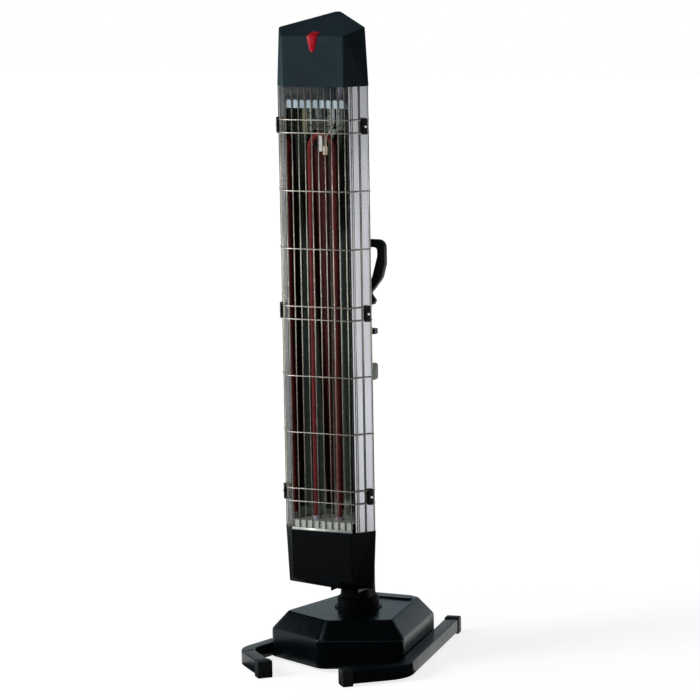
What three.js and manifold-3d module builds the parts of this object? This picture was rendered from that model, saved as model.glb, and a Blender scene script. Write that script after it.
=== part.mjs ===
// Infrared patio heater tower. Millimetres, +Z up, front towards -Y, origin on the floor under the neck.
import * as THREE from 'three';
import { mergeVertices } from 'three/addons/utils/BufferGeometryUtils.js';
import Module from 'manifold-3d';

const wasm = await Module();
wasm.setup();

// Clearances
const GAP = 0.3; // between seated pieces
const CUT_GAP = 0.4; // round a piece that passes through a cut
const RUN_GAP = 0.03; // radial, between a turning piece and its bearing
const TURN_GAP = 0.5; // between a turning piece and a fixed one beside it

// Head plan, shared by both caps
const HEAD_FRONT_Y = -175;
const HEAD_FRONT_HALF = 73;
const HEAD_WIDE_Y = -128;
const HEAD_WIDE_HALF = 111;
const HEAD_APEX_Y = -41.5;
const HEAD_APEX_ROUND_Y = -45.6;
const CAP_CLOSED_WIDE_HALF = 104;
const CAP_WALL = 2.5;
const CAP_FRONT_RADIUS = 4;
const CAP_WIDE_RADIUS = 5;
const CAP_APEX_RADIUS = 16;
const CAP_EDGE_RADIUS = 2.4;

// Head heights
const TOWER_TOP_Z = 1430;
const TOP_CAP_EDGE_Z = 1382;
const TOP_CAP_RIM_Z = 1274.5;
const BOTTOM_CAP_RIM_Z = 311.5;
const BOTTOM_CAP_EDGE_Z = 203;
const BOTTOM_CAP_LOW_Z = 155;

// Sheet-metal shell and reflector
const SHELL_INSET = 3.8;
const SHELL_SHEET = 1.2;
const SHELL_TUCK = 12; // depth inside each cap
const SHELL_FRONT_HALF = 78;
const REFLECTOR_SHEET = 1;
const REFLECTOR_PLAN = [[74, -160.5], [61, -122], [38, -93], [14, -79]];
const END_SHEET = 1.2;
const END_FRONT_Y = -166.9;
const TOP_END_Z = 1228.5;
const BOTTOM_END_Z = 332.5;
const FLANGE_TUCK = 14;

// Wire guard
const WIRE_RADIUS = 1.25;
const WIRE_SIDES = 6;
const WIRE_STEP = 2.05; // from an upright's centre out to a cross wire's centre
const GUARD_FRONT_Y = -169;
const GUARD_PITCH = 15.75;
const GUARD_FRONT_COUNT = 10;
const GUARD_CORNER = [85.2, -160.6];
const GUARD_SIDE = [95.6, -145.8];
const GUARD_REAR = [107.2, -129.6];
const GUARD_TUCK = 10;
const GUARD_PAIR_ZS = [388.5, 787.5, 1189.5];
const GUARD_PAIR_HALF = 14;

// Guard clips
const CLIP_WIDTH = 13;
const CLIP_HEIGHT = 34;
const CLIP_DEPTH = 8.4;
const CLIP_SCREW_RADIUS = 1.5;
const CLIP_SCREW_HEAD_RADIUS = 3.4;
const CLIP_SCREW_HEAD = 1.8;
const CLIP_SCREW_LENGTH = 13;

// Heating element
const ELEMENT_RADIUS = 6.2;
const ELEMENT_HALF = 27.7;
const ELEMENT_Y = -139;
const ELEMENT_TOP_Z = 1170;
const ELEMENT_LOW_Z = 296;
const COLLAR_RADIUS = 9.5;
const COLLAR_RISE = 7;
const COLLAR_DROP = 12;

// Rear column
const COLUMN_HALF = 34;
const COLUMN_BACK_Y = 30;
const COLUMN_RADIUS = 16;
const COLUMN_WALL = 3;
const COLUMN_LOW_Z = 156;
const COLUMN_TOP_Z = 1000;
const LID_THICK = 4;
const LID_RISE = 9;
const BRACKET_ZS = [352, 700];
const BRACKET_HEIGHT = 30;
const BRACKET_HALF = 24;
const BRACKET_BACK_Y = 24;

// Swivel
const POST_RADIUS = 16;
const POST_WALL = 2.5;
const POST_TOP_Z = 760;
const SPINDLE_RADIUS = 12;
const SPINDLE_LOW_Z = 47;
const BEARING_RADIUS = 26;
const BEARING_TOP_Z = 100;
const TURN_SIDES = 48;
const FLANGE_RADIUS = 53;
const FLANGE_HOLE = 32;
const FLANGE_RISE = 3;
const COLLAR_NECK_RADIUS = 46;
const COLLAR_NECK_TOP_Z = 134;
const NECK_WALL = 4;

// Handle and controls on the column's right side
const HANDLE_REACH = 81.5;
const HANDLE_TOP_Z = 932;
const HANDLE_LOW_Z = 788.5;
const HANDLE_WIDE = 18;
const HANDLE_ARM = 17;
const HANDLE_INNER_X = 63.5;
const HANDLE_Y = 0;
const KNOB_Z = 729.7;
const KNOB_Y = 0;
const KNOB_RADIUS = 10;
const KNOB_REACH = 55.3;
const KNOB_DISC_REACH = 43;
const KNOB_BAR = 12;
const KNOB_SHAFT_RADIUS = 3;
const SWITCH_Z = 640.5;
const SWITCH_Y = 0;
const SWITCH_WIDE = 24;
const SWITCH_TALL = 37;
const SWITCH_REACH = 54.5;
const SWITCH_WALL = 1.6;
const ROCKER_TALL = 22;
const ROCKER_WIDE = 11;
const ROCKER_TILT_DEG = 8;
const ROCKER_PIN_RADIUS = 1.5;

// Base
const COVER_FRONT_Y = -158;
const COVER_SHOULDER = [128.5, -98];
const COVER_BACK = [83, 142];
const COVER_OUTSET = 31;
const COVER_TOP_Z = 110;
const COVER_MID_Z = 70;
const COVER_LOW_Z = 9.5;
const COVER_WALL = 3;
const COVER_CORNER_RADIUS = 14;
const BAND_DEPTH = 44;
const BAND_RISE = 3.5;
const FOOT_TUBE = 30;
const FOOT_TUBE_WALL = 2;
const FOOT_TUBE_Z = 20.5;
const FOOT_FRONT = [95, -272];
const FOOT_BEND = [193, -178];
const FOOT_REAR = [104.2, 278.6];
const FOOT_BEND_RADIUS = 60;
const BOOT_WIDE = 34;
const BOOT_TALL = 38;
const BOOT_LONG = 24;
const BOOT_INSERT = 18;
const BAR_YS = [-70, 96];
const BAR_WIDE = 30;
const BAR_TALL = 24;
const BAR_Z = 20.5;
const PLATE_THICK = 4;
const PLATE_HALF = 95;
const PLATE_FRONT_Y = -95;
const PLATE_BACK_Y = 122;
const BALLAST_SIZE = [150, 58, 34];
const BALLAST_Y = 78;
const BOLT_RADIUS = 4;
const BOLT_X = 80;
const TIP_HALF = 11;
const TIP_Y = PLATE_FRONT_Y - GAP - TIP_HALF;
const TIP_RADIUS = 4;

// Materials
function paint(color, roughness, metalness = 0) {
  return { color, roughness, metalness };
}
const BLACK = paint(0x17191b, 0.42);
const GLOSS_BLACK = paint(0x121416, 0.18);
const GRAPHITE = paint(0x22272a, 0.45);
const SILVER = paint(0xc4c8cc, 0.3, 0.9);
const MIRROR = paint(0xd8dadd, 0.12, 1);
const CHROME = paint(0xdfe2e6, 0.15, 1);
const STEEL = paint(0x9a9ea3, 0.4, 0.9);
const IRON = paint(0x3a3c3e, 0.7, 0.4);
const RUBBER = paint(0x101112, 0.8);
const CERAMIC = paint(0xe8e4dc, 0.5);
const OXIDE_RED = paint(0x6e2024, 0.45, 0.2);
const LENS_RED = paint(0xd8222c, 0.15);
const CLEAR = paint(0xd9dcd6, 0.3);
const PHENOLIC = paint(0x4a3a2c, 0.6);
const KHAKI = paint(0x8c8056, 0.5, 0.6);

const group = new THREE.Group();
group.name = 'infrared_heater_tower';

function place(name, shape, look) {
  const geometry = shape.isBufferGeometry ? shape : geometryOf(shape);
  const mesh = new THREE.Mesh(geometry, new THREE.MeshStandardMaterial(look));
  mesh.name = name;
  group.add(mesh);
}

// Solids in and out of the boolean kernel
function solidOf(geometry) {
  const clean = geometry.clone();
  clean.deleteAttribute('normal');
  clean.deleteAttribute('uv');
  const merged = mergeVertices(clean, 1e-4);
  return new wasm.Manifold(new wasm.Mesh({
    numProp: 3,
    vertProperties: new Float32Array(merged.attributes.position.array),
    triVerts: new Uint32Array(merged.index.array),
  }));
}
function geometryOf(solid) {
  const data = solid.getMesh();
  const geometry = new THREE.BufferGeometry();
  geometry.setAttribute('position', new THREE.BufferAttribute(new Float32Array(data.vertProperties), 3));
  geometry.setIndex(Array.from(data.triVerts));
  return geometry;
}
function join(first, ...rest) {
  return rest.reduce((sum, next) => sum.add(next), first);
}
function cut(first, ...rest) {
  return rest.reduce((sum, next) => sum.subtract(next), first);
}

// Basic shapes
function box(x0, x1, y0, y1, z0, z1) {
  const geometry = new THREE.BoxGeometry(x1 - x0, y1 - y0, z1 - z0);
  geometry.translate((x0 + x1) / 2, (y0 + y1) / 2, (z0 + z1) / 2);
  return geometry;
}
function roundBar(radius, from, to, sides) {
  const start = new THREE.Vector3(...from);
  const axis = new THREE.Vector3(...to).sub(start);
  const geometry = new THREE.CylinderGeometry(radius, radius, axis.length(), sides);
  geometry.translate(0, axis.length() / 2, 0);
  const turn = new THREE.Quaternion().setFromUnitVectors(new THREE.Vector3(0, 1, 0), axis.clone().normalize());
  geometry.applyQuaternion(turn);
  geometry.translate(...from);
  return geometry;
}
function lathe(profile, sides) {
  const geometry = new THREE.LatheGeometry(profile.map(([r, z]) => new THREE.Vector2(r, z)), sides);
  geometry.rotateX(Math.PI / 2);
  return oriented(geometry);
}
function prism(outline, z0, z1) {
  return loft([z1, z0].map((z) => outline.map(([x, y]) => [x, y, z])));
}
function boreRadius(radius, sides) {
  return (radius + RUN_GAP) / Math.cos(Math.PI / sides);
}
function oriented(geometry) {
  const clean = geometry.clone();
  clean.deleteAttribute('normal');
  clean.deleteAttribute('uv');
  const merged = mergeVertices(clean, 1e-4);
  const spots = merged.attributes.position;
  const index = Array.from(merged.index.array);
  const kept = [];
  const [a, b, c] = [new THREE.Vector3(), new THREE.Vector3(), new THREE.Vector3()];
  let volume = 0;
  for (let i = 0; i < index.length; i += 3) {
    const [p, q, r] = index.slice(i, i + 3);
    if (p === q || q === r || r === p) continue;
    a.fromBufferAttribute(spots, p);
    b.fromBufferAttribute(spots, q);
    c.fromBufferAttribute(spots, r);
    volume += a.dot(b.cross(c));
    kept.push([p, q, r]);
  }
  merged.setIndex(kept.flatMap(([p, q, r]) => (volume < 0 ? [p, r, q] : [p, q, r])));
  return merged;
}
// Skin over a run of rings that have the same count of points
function loft(rings, closedRun = false) {
  const count = rings[0].length;
  const geometry = new THREE.BufferGeometry();
  const index = [];
  const runs = closedRun ? rings.length : rings.length - 1;
  for (let i = 0; i < runs; i += 1) {
    const a = i * count;
    const b = ((i + 1) % rings.length) * count;
    for (let j = 0; j < count; j += 1) {
      const k = (j + 1) % count;
      index.push(a + j, b + j, b + k, a + j, b + k, a + k);
    }
  }
  if (!closedRun) {
    const ends = [[0, false], [rings.length - 1, true]];
    for (const [at, flip] of ends) {
      for (const [p, q, r] of faceOf(rings[at])) {
        const [u, v, w] = [p + at * count, q + at * count, r + at * count];
        index.push(u, flip ? w : v, flip ? v : w);
      }
    }
  }
  geometry.setAttribute('position', new THREE.Float32BufferAttribute(rings.flat(2), 3));
  geometry.setIndex(index);
  return oriented(geometry);
}
function faceOf(ring) {
  const normal = new THREE.Vector3();
  ring.forEach((p, i) => {
    const q = ring[(i + 1) % ring.length];
    normal.x += (p[1] - q[1]) * (p[2] + q[2]);
    normal.y += (p[2] - q[2]) * (p[0] + q[0]);
    normal.z += (p[0] - q[0]) * (p[1] + q[1]);
  });
  const size = normal.toArray().map(Math.abs);
  const drop = size.indexOf(Math.max(...size));
  const flat = ring.map((p) => {
    const [u, v] = [[p[1], p[2]], [p[2], p[0]], [p[0], p[1]]][drop];
    return new THREE.Vector2(u, v);
  });
  const faces = THREE.ShapeUtils.triangulateShape(flat, []);
  return THREE.ShapeUtils.isClockWise(flat) ? faces.map(([p, q, r]) => [p, r, q]) : faces;
}

// Outlines
function insetOutline(points, insets) {
  const count = points.length;
  const lines = points.map((p, i) => {
    const q = points[(i + 1) % count];
    const length = Math.hypot(q[0] - p[0], q[1] - p[1]);
    const n = [(q[1] - p[1]) / length, -(q[0] - p[0]) / length];
    const inset = Array.isArray(insets) ? insets[i] : insets;
    return [n[0], n[1], n[0] * p[0] + n[1] * p[1] - inset];
  });
  return points.map((_, i) => meet(lines[(i + count - 1) % count], lines[i]));
}
function meet([a, b, c], [d, e, f]) {
  const det = a * e - b * d;
  return [(c * e - b * f) / det, (a * f - c * d) / det];
}
function roundOutline(points, radii, steps) {
  const count = points.length;
  return points.flatMap((p, i) => {
    const before = points[(i + count - 1) % count];
    const after = points[(i + 1) % count];
    return roundCorner(before, p, after, Array.isArray(radii) ? radii[i] : radii, steps);
  });
}
function roundCorner(before, corner, after, radius, steps) {
  const u = new THREE.Vector2(...before).sub(new THREE.Vector2(...corner)).normalize();
  const v = new THREE.Vector2(...after).sub(new THREE.Vector2(...corner)).normalize();
  const half = Math.acos(THREE.MathUtils.clamp(u.dot(v), -1, 1)) / 2;
  const back = radius / Math.tan(half);
  const mid = u.clone().add(v).normalize().multiplyScalar(radius / Math.sin(half));
  const start = u.clone().multiplyScalar(back).sub(mid);
  const end = v.clone().multiplyScalar(back).sub(mid);
  const sweep = Math.atan2(start.cross(end), start.dot(end));
  const list = [];
  for (let i = 0; i <= steps; i += 1) {
    const spot = start.clone().rotateAround(new THREE.Vector2(), (sweep * i) / steps).add(mid);
    list.push([corner[0] + spot.x, corner[1] + spot.y]);
  }
  return list;
}
function roundPath(points, radii, steps) {
  const inside = points.slice(1, -1).flatMap((p, i) => roundCorner(points[i], p, points[i + 2], radii[i], steps));
  return [points[0], ...inside, points[points.length - 1]];
}
// Closed outline of a folded sheet: path is its outer face, the sheet lies to the left of its run
function sheetOutline(path, thick) {
  const inner = offsetPath(path, thick);
  return [...path, ...inner.reverse()];
}
function offsetPath(path, distance) {
  const lines = path.slice(1).map((q, i) => {
    const p = path[i];
    const length = Math.hypot(q[0] - p[0], q[1] - p[1]);
    const n = [-(q[1] - p[1]) / length, (q[0] - p[0]) / length];
    return { n, line: [n[0], n[1], n[0] * p[0] + n[1] * p[1] + distance] };
  });
  return path.map((p, i) => {
    if (i === 0) return [p[0] + lines[0].n[0] * distance, p[1] + lines[0].n[1] * distance];
    if (i === path.length - 1) {
      const n = lines[i - 1].n;
      return [p[0] + n[0] * distance, p[1] + n[1] * distance];
    }
    return meet(lines[i - 1].line, lines[i].line);
  });
}
function mirrored(points) {
  return points.map(([x, y]) => [-x, y]);
}

// Round bar swept along a path of 3-D points
function sweptBar(path, radius, sides, phase = 0.5) {
  const spots = path.map((p) => new THREE.Vector3(...p));
  const rings = [];
  let side = null;
  spots.forEach((spot, i) => {
    const back = i > 0 ? spot.clone().sub(spots[i - 1]).normalize() : null;
    const ahead = i < spots.length - 1 ? spots[i + 1].clone().sub(spot).normalize() : null;
    const along = (back && ahead ? back.clone().add(ahead) : back ?? ahead).normalize();
    if (!side) {
      const up = Math.abs(along.z) > 0.9 ? new THREE.Vector3(0, 1, 0) : new THREE.Vector3(0, 0, 1);
      side = up.clone().cross(along);
    }
    side.addScaledVector(along, -side.dot(along)).normalize();
    const lift = along.clone().cross(side);
    const ring = [];
    for (let j = 0; j < sides; j += 1) {
      const angle = ((j + phase) / sides) * 2 * Math.PI;
      const p = spot.clone().addScaledVector(side, radius * Math.cos(angle));
      ring.push(p.addScaledVector(lift, radius * Math.sin(angle)).toArray());
    }
    rings.push(ring);
  });
  return loft(rings);
}
// Square bar swept along a flat path at one height
function squareBar(path, centreZ, width, height) {
  const left = offsetPath(path, width / 2);
  const right = offsetPath(path, -width / 2);
  return loft(path.map((_, i) => [
    [...left[i], centreZ - height / 2],
    [...right[i], centreZ - height / 2],
    [...right[i], centreZ + height / 2],
    [...left[i], centreZ + height / 2],
  ]));
}

// ---- Head ----
const headPlan = [
  [-HEAD_FRONT_HALF, HEAD_FRONT_Y], [HEAD_FRONT_HALF, HEAD_FRONT_Y], [HEAD_WIDE_HALF, HEAD_WIDE_Y],
  [0, HEAD_APEX_Y], [-HEAD_WIDE_HALF, HEAD_WIDE_Y],
];
const CORNER_STEPS = 4;
function capRing(wideHalf, inset, zAt) {
  const plan = headPlan.map(([x, y]) => [Math.abs(x) === HEAD_WIDE_HALF ? Math.sign(x) * wideHalf : x, y]);
  const radii = [CAP_FRONT_RADIUS, CAP_FRONT_RADIUS, CAP_WIDE_RADIUS, CAP_APEX_RADIUS, CAP_WIDE_RADIUS];
  const fitted = radii.map((r) => Math.max(r - inset, 0.8));
  return roundOutline(insetOutline(plan, inset), fitted, CORNER_STEPS).map(([x, y]) => [x, y, zAt(y)]);
}
// side is +1 where the cap closes upwards and -1 where it closes downwards
function capShell(rimZ, edgeZ, farZ, side) {
  const slope = (farZ - edgeZ) / (HEAD_APEX_ROUND_Y - HEAD_FRONT_Y);
  const face = (drop) => (y) => edgeZ + slope * (y - HEAD_FRONT_Y) - side * drop;
  const wideAt = (drop) => {
    const share = drop / Math.abs(edgeZ - rimZ);
    return CAP_CLOSED_WIDE_HALF + (HEAD_WIDE_HALF - CAP_CLOSED_WIDE_HALF) * share;
  };
  const rings = [];
  for (const turn of [0, 30, 60, 90]) {
    const angle = THREE.MathUtils.degToRad(turn);
    const inset = CAP_EDGE_RADIUS * (1 - Math.sin(angle));
    const drop = CAP_EDGE_RADIUS * (1 - Math.cos(angle));
    rings.push(capRing(wideAt(drop), inset, face(drop)));
  }
  rings.push(capRing(HEAD_WIDE_HALF, 0, () => rimZ));
  rings.push(capRing(HEAD_WIDE_HALF, CAP_WALL, () => rimZ));
  rings.push(capRing(wideAt(CAP_WALL), CAP_WALL, face(CAP_WALL)));
  return loft(rings);
}
const roofSlope = (TOWER_TOP_Z - TOP_CAP_EDGE_Z) / (HEAD_APEX_ROUND_Y - HEAD_FRONT_Y);
const roofTilt = Math.atan(roofSlope);
const roofZ = (y) => TOP_CAP_EDGE_Z + roofSlope * (y - HEAD_FRONT_Y);

// Pilot lens: a domed tongue over the roof edge that narrows down the front panel
const LENS_DEPTH = 5;
const LENS_CUT_DEPTH = 7;
const LENS_CUT_RISE = 9;
const frontNormal = [-1, 0];
const roofNormal = [-Math.sin(roofTilt), Math.cos(roofTilt)];
const edgeNormal = (() => {
  const sum = [frontNormal[0] + roofNormal[0], frontNormal[1] + roofNormal[1]];
  const length = Math.hypot(...sum);
  return [sum[0] / length, sum[1] / length];
})();
const edgeStretch = 1 / (edgeNormal[0] * frontNormal[0] + edgeNormal[1] * frontNormal[1]);
const onRoof = (run) => [HEAD_FRONT_Y + run, roofZ(HEAD_FRONT_Y + run)];
const onFront = (drop) => [HEAD_FRONT_Y, TOP_CAP_EDGE_Z - drop];
// Each station holds its place, its outward normal, its half width, its rise and its depth factor
const lensStations = [
  [onRoof(20.5), roofNormal, 8.5, 0.9, 1],
  [onRoof(17), roofNormal, 11, 2.8, 1],
  [onRoof(8), roofNormal, 12, 3.6, 1],
  [[HEAD_FRONT_Y, TOP_CAP_EDGE_Z], edgeNormal, 12, 3.4, edgeStretch],
  [onFront(9), frontNormal, 11.6, 3.6, 1],
  [onFront(16), frontNormal, 9.2, 3.4, 1],
  [onFront(26), frontNormal, 7.2, 3, 1],
  [onFront(31), frontNormal, 5.2, 2.2, 1],
  [onFront(33.6), frontNormal, 2.8, 1, 1],
];
const lensRing = ([[y, z], [ny, nz], , , stretch], points) => points.map(([x, n]) => {
  const reach = n < 0 ? n * stretch : n;
  return [x, y + ny * reach, z + nz * reach];
});
const lensBody = () => loft(lensStations.map((station) => {
  const [, , w, s] = station;
  return lensRing(station, [
    [-w, -LENS_DEPTH], [-w, 0.2 * s], [-0.8 * w, 0.62 * s], [-0.45 * w, 0.92 * s], [0, s],
    [0.45 * w, 0.92 * s], [0.8 * w, 0.62 * s], [w, 0.2 * s], [w, -LENS_DEPTH],
  ]);
}));
const lensCutter = (() => {
  const last = lensStations.length - 1;
  const rings = lensStations.map((station, i) => {
    const w = station[2] + CUT_GAP;
    const shift = [0, 0];
    if (i === 0) {
      shift[0] = CUT_GAP * Math.cos(roofTilt);
      shift[1] = CUT_GAP * Math.sin(roofTilt);
    } else if (i === last) {
      shift[1] = -CUT_GAP;
    }
    return lensRing(station, [
      [-w, -LENS_CUT_DEPTH], [-w, LENS_CUT_RISE], [w, LENS_CUT_RISE], [w, -LENS_CUT_DEPTH],
    ]).map(([x, y, z]) => [x, y + shift[0], z + shift[1]]);
  });
  return solidOf(loft(rings));
})();

// Small screw on the roof beside the lens, square to the roof
const ROOF_SCREW_X = 19.5;
const ROOF_SCREW_Y = -151;
const ROOF_SCREW_RADIUS = 1.6;
const ROOF_SCREW_HEAD_RADIUS = 3;
const ROOF_SCREW_HEAD = 1.4;
const ROOF_SCREW_LENGTH = 9;
function screw(radius, headRadius, head, length, sides = 12) {
  return lathe([[0, -length], [radius, -length], [radius, 0], [headRadius, 0], [headRadius, head * 0.6],
    [headRadius * 0.7, head], [0, head]], sides);
}
const roofScrewTurn = (geometry, lift) => {
  geometry.rotateX(roofTilt);
  const nudge = [-Math.sin(roofTilt) * lift, Math.cos(roofTilt) * lift];
  geometry.translate(ROOF_SCREW_X, ROOF_SCREW_Y + nudge[0], roofZ(ROOF_SCREW_Y) + nudge[1]);
  return geometry;
};
const roofHole = roofScrewTurn(roundBar(ROOF_SCREW_RADIUS + GAP, [0, 0, -8], [0, 0, 8], 12), 0);

place('top_cap', cut(
  solidOf(capShell(TOP_CAP_RIM_Z, TOP_CAP_EDGE_Z, TOWER_TOP_Z, 1)), lensCutter, solidOf(roofHole),
), GRAPHITE);
place('bottom_cap', capShell(BOTTOM_CAP_RIM_Z, BOTTOM_CAP_EDGE_Z, BOTTOM_CAP_LOW_Z, -1), BLACK);
place('pilot_lens', lensBody(), LENS_RED);
place('roof_screw', roofScrewTurn(
  screw(ROOF_SCREW_RADIUS, ROOF_SCREW_HEAD_RADIUS, ROOF_SCREW_HEAD, ROOF_SCREW_LENGTH), GAP,
), SILVER);
// Shell: side panels from the front opening round to the rear apex
const sideLine = (inset) => {
  const [p, q] = [headPlan[1], headPlan[2]];
  const length = Math.hypot(q[0] - p[0], q[1] - p[1]);
  const n = [(q[1] - p[1]) / length, -(q[0] - p[0]) / length];
  return { n, along: [(q[0] - p[0]) / length, (q[1] - p[1]) / length], c: n[0] * p[0] + n[1] * p[1] - inset };
};
const sideYAt = (inset, x) => {
  const { n, c } = sideLine(inset);
  return (c - n[0] * x) / n[1];
};
const shellPlan = insetOutline(headPlan, SHELL_INSET);
const shellCorners = [
  [SHELL_FRONT_HALF, sideYAt(SHELL_INSET, SHELL_FRONT_HALF)],
  shellPlan[2], shellPlan[3], shellPlan[4],
  [-SHELL_FRONT_HALF, sideYAt(SHELL_INSET, SHELL_FRONT_HALF)],
];
const SHELL_WIDE_RADIUS = 2;
const shellPath = roundPath(
  shellCorners, [SHELL_WIDE_RADIUS, CAP_APEX_RADIUS - SHELL_INSET, SHELL_WIDE_RADIUS], 5,
);
const shellBody = solidOf(prism(
  sheetOutline(shellPath, SHELL_SHEET), BOTTOM_CAP_RIM_Z - SHELL_TUCK, TOP_CAP_RIM_Z + SHELL_TUCK,
));
// Clip seats lie midway between the two rear uprights of each side
const sideNormal = sideLine(0).n;
const sideAlong = sideLine(0).along;
const clipPlan = [(GUARD_SIDE[0] + GUARD_REAR[0]) / 2, (GUARD_SIDE[1] + GUARD_REAR[1]) / 2];
const shellFaceOffset = (() => {
  const { n, c } = sideLine(SHELL_INSET);
  return c - (n[0] * clipPlan[0] + n[1] * clipPlan[1]);
})();
// Point beside a clip: out from the guard line, along it, and up
function clipPoint(side, out, along, z) {
  const x = clipPlan[0] + sideNormal[0] * out + sideAlong[0] * along;
  const y = clipPlan[1] + sideNormal[1] * out + sideAlong[1] * along;
  return [side * x, y, z];
}
const clipSpots = [1, -1].flatMap((side) => GUARD_PAIR_ZS.map((z) => [side, z]));
const clipBores = clipSpots.map(([side, z]) => solidOf(roundBar(
  CLIP_SCREW_RADIUS + GAP, clipPoint(side, -20, 0, z), clipPoint(side, 20, 0, z), 12,
)));
place('body_shell', cut(shellBody, ...clipBores), SILVER);

// Reflector of flat facets
const reflectorPath = [...REFLECTOR_PLAN, ...mirrored(REFLECTOR_PLAN).reverse()];
place('reflector', prism(
  sheetOutline(reflectorPath, REFLECTOR_SHEET), BOTTOM_END_Z + GAP, TOP_END_Z - GAP,
), MIRROR);

// End plates with a front flange; rise is +1 where the flange turns up
const END_INSET = SHELL_INSET + SHELL_SHEET + GAP;
const endPlan = roundOutline(
  insetOutline(headPlan, [END_FRONT_Y - HEAD_FRONT_Y, END_INSET, END_INSET, END_INSET, END_INSET]),
  [1, 1, 3, CAP_APEX_RADIUS - END_INSET, 3], 3,
);
const FLANGE_HALF = SHELL_FRONT_HALF - 6;
function flangeBox(low, high) {
  return solidOf(box(-FLANGE_HALF, FLANGE_HALF, END_FRONT_Y, END_FRONT_Y + END_SHEET, low, high));
}
const endFace = (faceZ, side) => solidOf(prism(endPlan, faceZ, faceZ + side * END_SHEET));

// Rounded tabs of the upper plate stand between the guard's uprights
const TAB_HALF = 6.6;
const TAB_TOP_Z = 1246;
const TAB_SHOULDER = 5;
const TAB_ROOT = 2;
const TAB_COUNT = GUARD_FRONT_COUNT - 1;
const TAB_STEPS = 8;
function tabSolid(centreX) {
  const outline = [[centreX + TAB_HALF, TOP_END_Z + TAB_ROOT - 1]];
  for (let i = 0; i <= TAB_STEPS; i += 1) {
    const angle = (Math.PI * i) / TAB_STEPS;
    const z = TAB_TOP_Z - TAB_SHOULDER * (1 - Math.sin(angle));
    outline.push([centreX + TAB_HALF * Math.cos(angle), z]);
  }
  outline.push([centreX - TAB_HALF, TOP_END_Z + TAB_ROOT - 1]);
  const flat = prism(outline, -END_FRONT_Y - END_SHEET, -END_FRONT_Y);
  flat.rotateX(Math.PI / 2);
  return solidOf(flat);
}
const tabs = Array.from(
  { length: TAB_COUNT },
  (_, i) => tabSolid((i - (TAB_COUNT - 1) / 2) * GUARD_PITCH),
);
const legHoles = [-1, 1].map((s) => solidOf(roundBar(
  COLLAR_RADIUS - 2 + GAP, [s * ELEMENT_HALF, ELEMENT_Y, BOTTOM_END_Z - 5],
  [s * ELEMENT_HALF, ELEMENT_Y, BOTTOM_END_Z + 5], 16,
)));
place('top_end_plate', join(
  endFace(TOP_END_Z, 1), flangeBox(TOP_END_Z, TOP_END_Z + TAB_ROOT), ...tabs,
), SILVER);
const lowFlange = flangeBox(BOTTOM_CAP_RIM_Z - FLANGE_TUCK, BOTTOM_END_Z);
place('bottom_end_plate', cut(join(endFace(BOTTOM_END_Z, -1), lowFlange), ...legHoles), SILVER);

// Hairpin element and its collars
const bendCentreZ = ELEMENT_TOP_Z - ELEMENT_HALF;
const hairpin = [[-ELEMENT_HALF, ELEMENT_Y, ELEMENT_LOW_Z]];
for (let i = 0; i <= 12; i += 1) {
  const angle = Math.PI - (Math.PI * i) / 12;
  hairpin.push([ELEMENT_HALF * Math.cos(angle), ELEMENT_Y, bendCentreZ + ELEMENT_HALF * Math.sin(angle)]);
}
hairpin.push([ELEMENT_HALF, ELEMENT_Y, ELEMENT_LOW_Z]);
place('heating_element', sweptBar(hairpin, ELEMENT_RADIUS, 14), OXIDE_RED);
const collarBore = ELEMENT_RADIUS + GAP;
[['left', -1], ['right', 1]].forEach(([hand, s]) => {
  const collar = lathe([
    [collarBore, BOTTOM_END_Z - COLLAR_DROP], [COLLAR_RADIUS - 2, BOTTOM_END_Z - COLLAR_DROP],
    [COLLAR_RADIUS - 2, BOTTOM_END_Z + GAP], [COLLAR_RADIUS, BOTTOM_END_Z + GAP],
    [COLLAR_RADIUS, BOTTOM_END_Z + COLLAR_RISE - 1], [COLLAR_RADIUS - 1, BOTTOM_END_Z + COLLAR_RISE],
    [collarBore, BOTTOM_END_Z + COLLAR_RISE], [collarBore, BOTTOM_END_Z - COLLAR_DROP],
  ], 20);
  collar.translate(s * ELEMENT_HALF, ELEMENT_Y, 0);
  place(`element_collar_${hand}`, collar, CERAMIC);
});
// Terminal block takes both cold ends
const BLOCK_LOW_Z = 272;
const BLOCK_TOP_Z = 312;
const blockBores = [-1, 1].map((s) => solidOf(roundBar(
  ELEMENT_RADIUS + GAP, [s * ELEMENT_HALF, ELEMENT_Y, ELEMENT_LOW_Z - GAP],
  [s * ELEMENT_HALF, ELEMENT_Y, BLOCK_TOP_Z + 5], 16,
)));
place('terminal_block', cut(
  solidOf(box(-44, 44, ELEMENT_Y - 13, ELEMENT_Y + 13, BLOCK_LOW_Z, BLOCK_TOP_Z)), ...blockBores,
), PHENOLIC);

// Ceramic saddle that carries the bend, on a thin stem from the top end plate
const CLAMP_X = [-3.5, 6.5];
const CLAMP_Z = [1135, 1169];
const CLAMP_FRONT_COVER = 3.8;
const CLAMP_REAR_COVER = 5.5;
const clampBody = solidOf(box(
  CLAMP_X[0], CLAMP_X[1], ELEMENT_Y - ELEMENT_RADIUS - CLAMP_FRONT_COVER,
  ELEMENT_Y + ELEMENT_RADIUS + CLAMP_REAR_COVER, CLAMP_Z[0], CLAMP_Z[1],
));
const STEM_X = [0, 3];
const STEM_THICK = 3;
const stemFrontY = ELEMENT_Y + ELEMENT_RADIUS + 1.5;
const clampStem = solidOf(box(
  STEM_X[0], STEM_X[1], stemFrontY, stemFrontY + STEM_THICK, CLAMP_Z[0] + 10, TOP_END_Z - GAP,
));
place('element_clamp', cut(
  join(clampBody, clampStem), solidOf(sweptBar(hairpin, ELEMENT_RADIUS + GAP, 14)),
), CERAMIC);

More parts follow.
